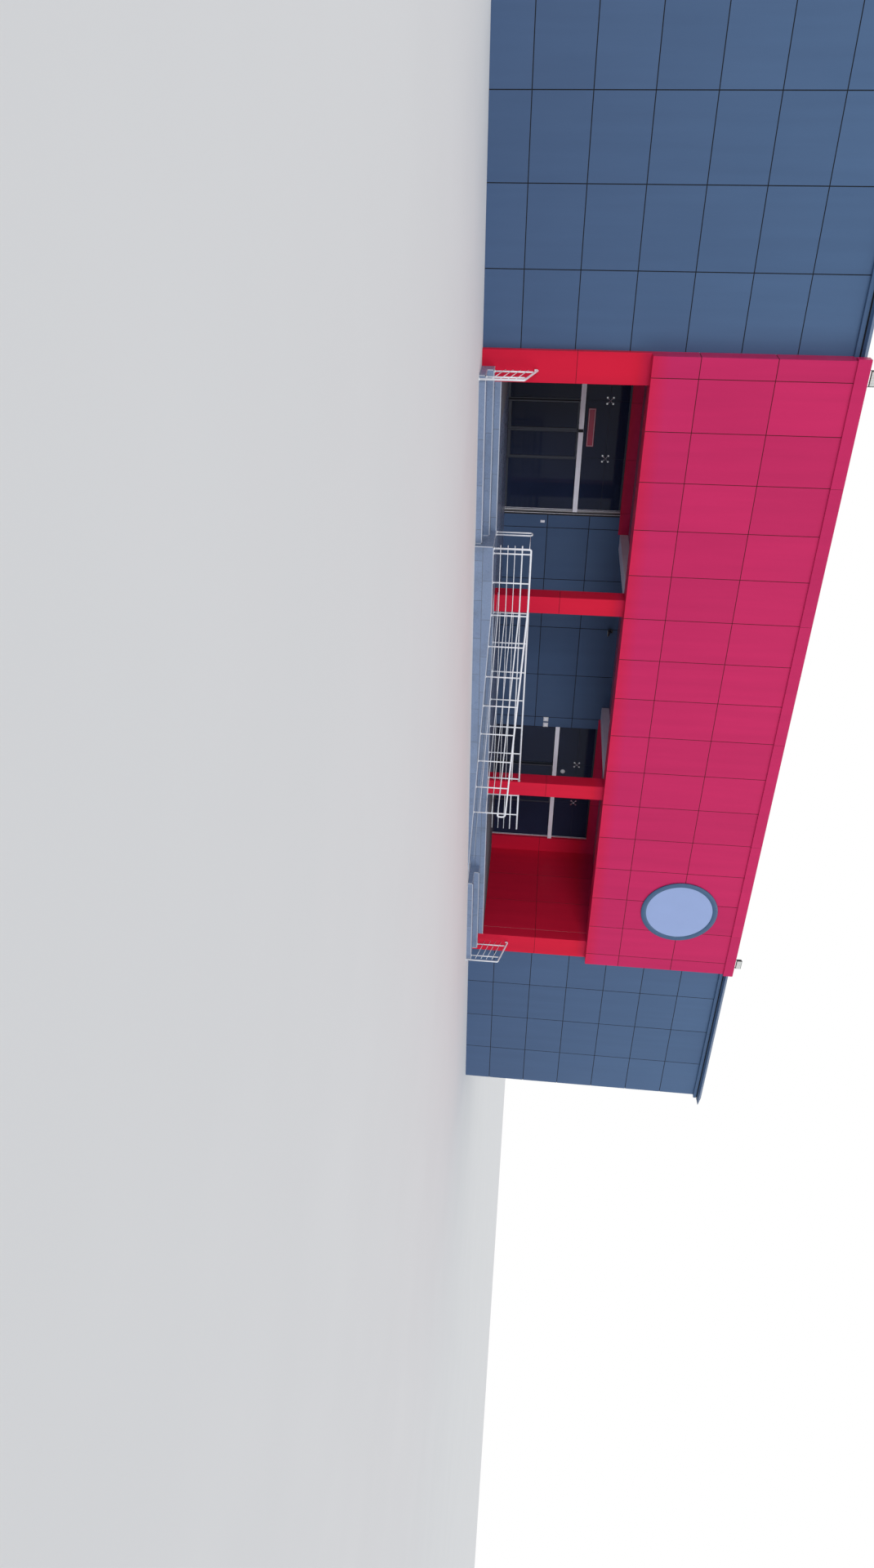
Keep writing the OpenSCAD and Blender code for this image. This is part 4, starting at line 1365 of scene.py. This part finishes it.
class SUPERMARKET_OT_glazing(bpy.types.Operator):
    """Finish the two glazed fronts, and add the caps, arms and seals on the glass and the sensors"""

    bl_idname = "supermarket.glazing"
    bl_label = "Glazed Fronts"

    # Half the width of a seal, and the radii of the holders' caps and arms
    seal = 0.005
    seal_inset = 0.003
    cap = 0.026
    arm = 0.009

    # The width and the places of the pale lines on a jamb, and the dark strip beside the exit with its line
    jamb_line = 0.012
    jamb_lines = (0.004, 0.044)
    strip = 0.12
    strip_line = (0.05, 0.062)

    def execute(self, context):
        for door in ("exit", "entrance"):
            for part, key in (("frame", "bar"), ("glass", "glass"), ("header", "header")):
                dress(f"{door}_{part}", key)
            self.fittings(context.scene.supermarket_glazing, door)
            self.sensor(door)
        return {"FINISHED"}

    def fittings(self, sizes, door):
        """The seals and holder caps on the glass and the pale lines on the jambs"""
        steel, rubber, pale = range(3)
        bm = bmesh.new()
        self.holders(bm, sizes, door, steel, rubber)
        low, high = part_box(f"{door}_frame")
        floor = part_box("floor_slab")[1].z
        for edge, inward in ((low.x, 1), (high.x, -1)):
            for shift in self.jamb_lines:
                ends = sorted((edge + inward * shift, edge + inward * (shift + self.jamb_line)))
                add_box(bm, (ends[0], low.y - 0.006, floor), (ends[1], low.y, high.z), pale)
        if door == "exit":
            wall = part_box("porch_middle_wall")[0].y
            start, end = (high.x + place for place in self.strip_line)
            add_box(bm, (high.x + 0.001, wall - 0.006, floor), (high.x + self.strip, wall, high.z), rubber)
            add_box(bm, (start, wall - 0.010, floor), (end, wall - 0.006, high.z), pale)
        finish_piece(bm, f"{door}_glass_caps", ("steel", "rubber", "header"))

    def holders(self, bm, sizes, door, steel, rubber):
        """The steel caps and arms of the glass holders and the sealed joints between the panes"""
        low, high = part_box(f"{door}_glass")
        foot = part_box(f"{door}_header")[1].z
        front, back = low.y + self.seal_inset, high.y - self.seal_inset
        middle = (low.x + high.x) / 2
        level, reach, seal = sizes.holder_height, sizes.holder_reach, self.seal
        add_box(bm, (low.x, front, level - seal), (high.x, back, level + seal), rubber)
        for side in (-1, 1):
            x = middle + side * sizes.holder_place
            for z0, z1 in ((foot, level - seal), (level + seal, high.z)):
                add_box(bm, (x - seal, front, z0), (x + seal, back, z1), rubber)
            for dx in (-1, 1):
                for dz in (-1, 1):
                    place = (x + dx * reach, low.y - 0.004, level + dz * reach)
                    add_disc(bm, place, self.cap, 0.008, Y, 20, steel)
                    add_tube(bm, [(x, low.y - 0.006, level), place], self.arm, 8)

    def sensor(self, door):
        """The motion sensor under the header and its window"""
        case, window = range(2)
        low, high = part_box(f"{door}_header")
        middle = (low.x + high.x) / 2
        bm = bmesh.new()
        case_low = (middle - 0.045, low.y - 0.04, low.z - 0.05)
        case_high = (middle + 0.045, low.y, high.z - 0.004)
        add_soft_box(bm, case_low, case_high, 0.01, case, 3)
        window_low = (middle - 0.03, low.y - 0.046, low.z - 0.04)
        window_high = (middle + 0.03, low.y - 0.036, low.z)
        add_soft_box(bm, window_low, window_high, 0.003, window)
        finish_piece(bm, f"{door}_sensor", ("rubber", "bar"))


class SUPERMARKET_OT_leaves(bpy.types.Operator):
    """Make the sliding leaves with their glass, seals and hangers"""

    bl_idname = "supermarket.leaves"
    bl_label = "Sliding Leaves"

    # Widths of the bars, and thicknesses of the leaf, its pane and its seals
    stile = 0.05
    foot = 0.09
    thick = 0.045
    pane = 0.012
    seal = 0.01
    seal_depth = 0.008

    # The gap under the header, the header's lip and the rollers that run on it
    header_gap = 0.008
    lip = 0.01
    roller = 0.02
    roller_length = 0.056
    roller_clear = 0.0003
    hanger = (0.03, 0.005)

    def execute(self, context):
        for door in ("exit", "entrance"):
            for side in ("left", "right"):
                self.leaf(door, side)
        return {"FINISHED"}

    def leaf(self, door, side):
        """One leaf: four bars, a pane, its seals and two rollers on hangers"""
        bar, glass, rubber = range(3)
        node = f"{door}_{side}_leaf"
        low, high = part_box(node)
        header_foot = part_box(f"{door}_header")[0].z
        top = header_foot - self.header_gap
        middle = (low.y + high.y) / 2
        front, back = middle - self.thick / 2, middle + self.thick / 2
        x0, x1 = low.x + self.stile, high.x - self.stile
        z0, z1 = low.z + self.foot, top - self.stile
        bm = bmesh.new()
        for start, end in ((low.x, x0), (x1, high.x)):
            add_soft_box(bm, (start, front, low.z), (end, back, top), 0.004, bar)
        add_soft_box(bm, (x0, front, low.z), (x1, back, z0), 0.004, bar)
        add_soft_box(bm, (x0, front, z1), (x1, back, top), 0.004, bar)
        add_box(bm, (x0, middle - self.pane / 2, z0), (x1, middle + self.pane / 2, z1), glass)
        for y in (middle - self.pane / 2 - self.seal_depth, middle + self.pane / 2):
            for foot in (z0, z1 - self.seal):
                add_box(bm, (x0, y, foot), (x1, y + self.seal_depth, foot + self.seal), rubber)
            for start in (x0, x1 - self.seal):
                add_box(bm, (start, y, z0), (start + self.seal, y + self.seal_depth, z1), rubber)
        quarter = (high.x - low.x) / 4
        roller_z = header_foot + self.lip + self.roller_clear + self.roller
        wide, deep = self.hanger
        for x in (low.x + quarter, high.x - quarter):
            add_soft_box(bm, (x - wide, middle - deep, top), (x + wide, middle + deep, roller_z), 0.001, bar)
            add_disc(bm, (x, middle, roller_z), self.roller, self.roller_length, Y, 20, rubber)
        body = f"{door}_{side}_door"
        finish_piece(bm, node + "_door", ("bar", "glass", "rubber"), [node], body)


class SUPERMARKET_OT_floodlights(bpy.types.Operator):
    """Make the two floodlights on the coping"""

    bl_idname = "supermarket.floodlights"
    bl_label = "Floodlights"

    width = 0.38
    depth = 0.12
    yoke = 0.008
    yoke_depth = 0.04
    rim = 0.018
    lens_rows = 3
    lens_columns = 5
    ribs = 11

    def execute(self, context):
        low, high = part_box("floodlights")
        bm = bmesh.new()
        for side in (-1, 1):
            x = side * ((high.x - low.x) / 2 - self.yoke - self.width / 2)
            self.lamp(bm, x, (low.y + high.y) / 2, low.z, high.z)
        finish_piece(bm, "floodlight_heads", ("lamp", "lamp_face", "white"), ["floodlights"])
        return {"FINISHED"}

    def lamp(self, bm, x, y, foot, top):
        """One lamp: its case, window, rows of lenses, cooling ribs, yoke and side screws"""
        case, window, lens = range(3)
        rim, yoke, yoke_half = self.rim, self.yoke, self.yoke_depth / 2
        left, right = x - self.width / 2, x + self.width / 2
        bottom = foot + 0.06
        front, back = y - self.depth / 2, y + self.depth / 2
        add_soft_box(bm, (left, front + 0.01, bottom), (right, front + 0.05, top), 0.008, case)
        window_low = (left + rim, front + 0.004, bottom + rim)
        add_soft_box(bm, window_low, (right - rim, front + 0.014, top - rim), 0.003, window)
        for row in range(self.lens_rows):
            for column in range(self.lens_columns):
                place = (x - 0.13 + 0.065 * column, front + 0.004, bottom + 0.045 + row * 0.05)
                add_disc(bm, place, 0.015, 0.006, Y, 12, lens)
        for i in range(self.ribs):
            start = left + 0.02 + i * 0.034
            rib_high = (start + 0.005, back - 0.004, top - 0.012)
            add_box(bm, (start, front + 0.05, bottom + 0.012), rib_high, case)
        for arm in (-1, 1):
            edge = x + arm * (self.width + yoke) / 2
            arm_low = (edge - yoke / 2, y - yoke_half, foot)
            add_soft_box(bm, arm_low, (edge + yoke / 2, y + yoke_half, top - 0.05), 0.0015, case)
            add_disc(bm, (edge, y, bottom + 0.1), 0.014, 0.0078, X, 12, case)
        bar_low = (left - yoke, y - yoke_half, foot)
        add_soft_box(bm, bar_low, (right + yoke, y + yoke_half, foot + yoke), 0.0015, case)


class SUPERMARKET_OT_boards(bpy.types.Operator):
    """Hang the bare round board on the fascia and the small blank fittings in the porch"""

    bl_idname = "supermarket.boards"
    bl_label = "Bare Boards"

    # Places are across and up, read from the photograph
    face_share = 0.86
    plate_span = (-7.69, -6.515)
    plate_foot = 2.995
    plate_height = 0.225
    switch_places = (3.48, 3.72)
    switch_foot = 2.25
    switch_size = 0.18
    box_low, box_high = (-4.12, 1.71), (-4.04, 1.85)
    lamp_place = (-0.235, 4.345)
    lamp_reach = 0.2
    dome_place = (5.85, 3.12)
    dome_base = 0.085
    dome_radius = 0.062
    dome_flat = 0.45

    def execute(self, context):
        self.round_board(context.scene.supermarket_signs)
        self.exit_plate()
        self.wall_plates()
        self.wall_lamp()
        self.door_dome()
        return {"FINISHED"}

    def round_board(self, signs):
        """A shallow drum with a dark rim and a bare pale face"""
        face_index, rim_index = range(2)
        centre = Vector((signs.disc_x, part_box("fascia")[0].y, signs.disc_z))
        radius = signs.disc_radius
        profile = [
            (0.0, -0.030),
            (0.865, -0.030),
            (0.868, -0.038),
            (0.885, -0.044),
            (0.985, -0.044),
            (0.998, -0.039),
            (1.0, -0.032),
            (1.0, -0.004),
            (0.96, 0.0),
            (0.0, 0.0),
        ]
        bm = bmesh.new()
        verts = [bm.verts.new(centre + Vector((out * radius, depth, 0))) for out, depth in profile]
        edges = [bm.edges.new(pair) for pair in zip(verts, verts[1:])]
        bmesh.ops.spin(
            bm,
            geom=verts + edges,
            cent=centre,
            axis=unit(Y),
            angle=2 * math.pi,
            steps=96,
            use_merge=True,
        )
        bmesh.ops.remove_doubles(bm, verts=bm.verts, dist=CLOSE)
        bmesh.ops.recalc_face_normals(bm, faces=bm.faces)
        for face in bm.faces:
            middle = face.calc_center_median() - centre
            out = math.hypot(middle.x, middle.z) / radius
            face.material_index = face_index if out < self.face_share and middle.y < -0.02 else rim_index
            face.smooth = out > self.face_share
        finish_piece(bm, "round_board", ("board", "rim"))

    def exit_plate(self):
        """The blank red plate on the exit's glass, over the header"""
        red, white = range(2)
        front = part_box("exit_glass")[0].y
        left, right = self.plate_span
        foot = max(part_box("exit_header")[1].z + 0.01, self.plate_foot)
        top = foot + self.plate_height
        bm = bmesh.new()
        add_soft_box(bm, (left, front - 0.02, foot), (right, front - 0.002, top), 0.005, red, 3)
        for inset, proud, index in ((0.018, 0.022, white), (0.028, 0.024, red)):
            inner_low = (left + inset, front - proud, foot + inset)
            add_soft_box(bm, inner_low, (right - inset, front - 0.01, top - inset), 0.001, index)
        finish_piece(bm, "exit_plate", ("plate", "white"))

    def wall_plates(self):
        """Two blank switch plates by the entrance and a small box by the exit"""
        white, metal = range(2)
        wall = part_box("porch_middle_wall")[0].y
        half, foot = self.switch_size / 2, self.switch_foot
        top = foot + self.switch_size
        rim = 0.04
        bm = bmesh.new()
        for x in self.switch_places:
            add_soft_box(bm, (x - half, wall - 0.012, foot), (x + half, wall, top), 0.004, white, 3)
            key_low = (x - half + rim, wall - 0.016, foot + rim)
            add_soft_box(bm, key_low, (x + half - rim, wall - 0.01, top - rim), 0.002, metal)
        (x0, z0), (x1, z1) = self.box_low, self.box_high
        add_soft_box(bm, (x0, wall - 0.03, z0), (x1, wall, z1), 0.006, metal, 3)
        finish_piece(bm, "wall_plates", ("white", "header"))

    def wall_lamp(self):
        """A shaded lamp on a short bent arm, over the grey wall"""
        case, glow = range(2)
        x, z = self.lamp_place
        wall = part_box("porch_middle_wall")[0].y
        end = wall - self.lamp_reach
        arm = [(x, wall - 0.03, z), (x, wall - 0.16, z + 0.03), (x, end, z - 0.03)]
        bm = bmesh.new()
        add_disc(bm, (x, wall - 0.02, z), 0.09, 0.04, Y, 28, case, top=0.075)
        add_tube(bm, rounded(arm, 0.04, 5), 0.016, 12)
        add_disc(bm, (x, end, z - 0.06), 0.13, 0.07, Z, 28, case, top=0.06)
        add_disc(bm, (x, end, z - 0.098), 0.115, 0.008, Z, 28, glow)
        finish_piece(bm, "wall_lamp", ("lamp", "lamp_face"))

    def door_dome(self):
        """A flat dome on a round base, over the entrance"""
        x, z = self.dome_place
        place = Vector((x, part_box("entrance_glass")[0].y - 0.008, z))
        bm = bmesh.new()
        add_disc(bm, place, self.dome_base, 0.016, Y, 28)
        dome = add_ball(bm, place + Vector((0, -0.008, 0)), self.dome_radius, 20)
        squash = (1, self.dome_flat, 1)
        bmesh.ops.scale(bm, vec=squash, space=Matrix.Translation(-place), verts=dome)
        finish_piece(bm, "door_dome", ("white",))


class SUPERMARKET_OT_stage(bpy.types.Operator):
    """Set the camera of the photograph, the lamps, the sky and the floor"""

    bl_idname = "supermarket.stage"
    bl_label = "Stage"

    # The camera's place and turns, fitted to the joints and edges in the photograph
    eye = (-16.544, -28.168, 1.828)
    heading, pitch, roll = -0.61277, -0.08721, -0.06099
    far = 600
    floor_radius = 400
    floor_drop = 0.002

    def execute(self, context):
        scene = context.scene
        settings = scene.supermarket_stage
        self.camera(scene, settings)
        self.lamps(scene, settings)
        self.sky(scene, settings)
        self.floor(scene, settings)
        scene.view_settings.view_transform = "Standard"
        return {"FINISHED"}

    def camera(self, scene, settings):
        """The photograph's camera, which was held on its side"""
        data = bpy.data.cameras.new("photo_camera")
        data.sensor_width = 36
        data.lens = settings.lens
        data.clip_end = self.far
        camera = bpy.data.objects.new("photo_camera", data)
        scene.collection.objects.link(camera)
        turn = (
            Matrix.Rotation(self.heading, 4, "Z")
            @ Matrix.Rotation(self.pitch, 4, "X")
            @ Matrix.Rotation(self.roll, 4, "Y")
            @ Matrix.Rotation(math.pi / 2, 4, "X")
            @ Matrix.Rotation(math.pi / 2, 4, "Z")
        )
        camera.matrix_world = Matrix.Translation(self.eye) @ turn
        scene.camera = camera

    def lamps(self, scene, settings):
        """A high soft lamp from the right and a low one from the left: angle, colour and direction"""
        lamps = (
            ("sun", settings.sun, 35, (1.0, 0.99, 0.97), (0.5, -0.72, 0.62)),
            ("fill", settings.fill, 22, (0.93, 0.96, 1.0), (-0.52, -0.85, 0.10)),
        )
        for name, energy, angle, colour, toward in lamps:
            lamp = bpy.data.lights.new(name, "SUN")
            lamp.energy = energy
            lamp.angle = math.radians(angle)
            lamp.color = colour
            lamp_object = bpy.data.objects.new(name, lamp)
            scene.collection.objects.link(lamp_object)
            lamp_object.rotation_euler = Vector(toward).to_track_quat("Z", "Y").to_euler()

    def sky(self, scene, settings):
        """White behind the object and in what it mirrors, plain daylight on it"""
        world = bpy.data.worlds.new("daylight")
        scene.world = world
        world.use_nodes = True
        tree = world.node_tree
        tree.nodes.clear()
        light = tree.nodes.new("ShaderNodeBackground")
        light.inputs["Color"].default_value = (0.93, 0.96, 1, 1)
        light.inputs["Strength"].default_value = settings.sky
        white = tree.nodes.new("ShaderNodeBackground")
        white.inputs["Color"].default_value = (*WHITE, 1)
        white.inputs["Strength"].default_value = 1
        path = tree.nodes.new("ShaderNodeLightPath")
        either = tree.nodes.new("ShaderNodeMath")
        either.operation = "MAXIMUM"
        seen = tree.nodes.new("ShaderNodeMath")
        seen.operation = "MAXIMUM"
        mix = tree.nodes.new("ShaderNodeMixShader")
        output = tree.nodes.new("ShaderNodeOutputWorld")
        tree.links.new(path.outputs["Is Glossy Ray"], either.inputs[0])
        tree.links.new(path.outputs["Is Transmission Ray"], either.inputs[1])
        tree.links.new(either.outputs[0], seen.inputs[0])
        tree.links.new(path.outputs["Is Camera Ray"], seen.inputs[1])
        tree.links.new(seen.outputs[0], mix.inputs["Fac"])
        tree.links.new(light.outputs[0], mix.inputs[1])
        tree.links.new(white.outputs[0], mix.inputs[2])
        tree.links.new(mix.outputs[0], output.inputs["Surface"])

    def floor(self, scene, settings):
        """A pale, faintly clouded studio floor, just under the ground"""
        bm = bmesh.new()
        bmesh.ops.create_circle(bm, cap_ends=True, radius=self.floor_radius, segments=64)
        bmesh.ops.translate(bm, vec=(0, 0, -self.floor_drop), verts=bm.verts)
        mesh = bpy.data.meshes.new("floor")
        bm.to_mesh(mesh)
        bm.free()
        floor = bpy.data.objects.new("floor", mesh)
        scene.collection.objects.link(floor)
        mesh.materials.append(plain_coat("studio_floor", settings.floor_colour, 0.9, scale=0.2, change=0.98))


class SUPERMARKET_PT_panel(bpy.types.Panel):
    """The supermarket's operators and settings"""

    bl_idname = "SUPERMARKET_PT_panel"
    bl_label = "Supermarket"
    bl_space_type = "VIEW_3D"
    bl_region_type = "UI"
    bl_category = "Supermarket"

    def draw(self, context):
        for operator in OPERATORS:
            self.layout.operator(operator.bl_idname)
        for name in SETTINGS:
            group = getattr(context.scene, name)
            box = self.layout.box()
            box.label(text=name.replace("_", " ").title())
            for prop in group.bl_rna.properties:
                if not prop.is_readonly and prop.identifier != "name":
                    box.prop(group, prop.identifier)


SETTINGS = {
    "supermarket_cladding": CladdingSettings,
    "supermarket_fascia": FasciaSettings,
    "supermarket_porch": PorchSettings,
    "supermarket_glazing": GlazingSettings,
    "supermarket_railing": RailingSettings,
    "supermarket_signs": SignSettings,
    "supermarket_stage": StageSettings,
}

OPERATORS = (
    SUPERMARKET_OT_stage,
    SUPERMARKET_OT_finishes,
    SUPERMARKET_OT_front_cladding,
    SUPERMARKET_OT_hall_cladding,
    SUPERMARKET_OT_roof,
    SUPERMARKET_OT_cornices,
    SUPERMARKET_OT_fascia,
    SUPERMARKET_OT_piers,
    SUPERMARKET_OT_porch_walls,
    SUPERMARKET_OT_porch_ceiling,
    SUPERMARKET_OT_platform,
    SUPERMARKET_OT_railings,
    SUPERMARKET_OT_glazing,
    SUPERMARKET_OT_leaves,
    SUPERMARKET_OT_floodlights,
    SUPERMARKET_OT_boards,
)


def register():
    """Register the settings, the operators and the panel"""
    for name, group in SETTINGS.items():
        bpy.utils.register_class(group)
        setattr(bpy.types.Scene, name, PointerProperty(type=group))
    for operator in OPERATORS:
        bpy.utils.register_class(operator)
    bpy.utils.register_class(SUPERMARKET_PT_panel)


def unregister():
    """Remove what register added"""
    bpy.utils.unregister_class(SUPERMARKET_PT_panel)
    for operator in reversed(OPERATORS):
        bpy.utils.unregister_class(operator)
    for name, group in SETTINGS.items():
        delattr(bpy.types.Scene, name)
        bpy.utils.unregister_class(group)


def main():
    """Make every piece in order"""
    register()
    for operator in OPERATORS:
        area, call = operator.bl_idname.split(".")
        getattr(getattr(bpy.ops, area), call)()


if __name__ == "__main__":
    main()
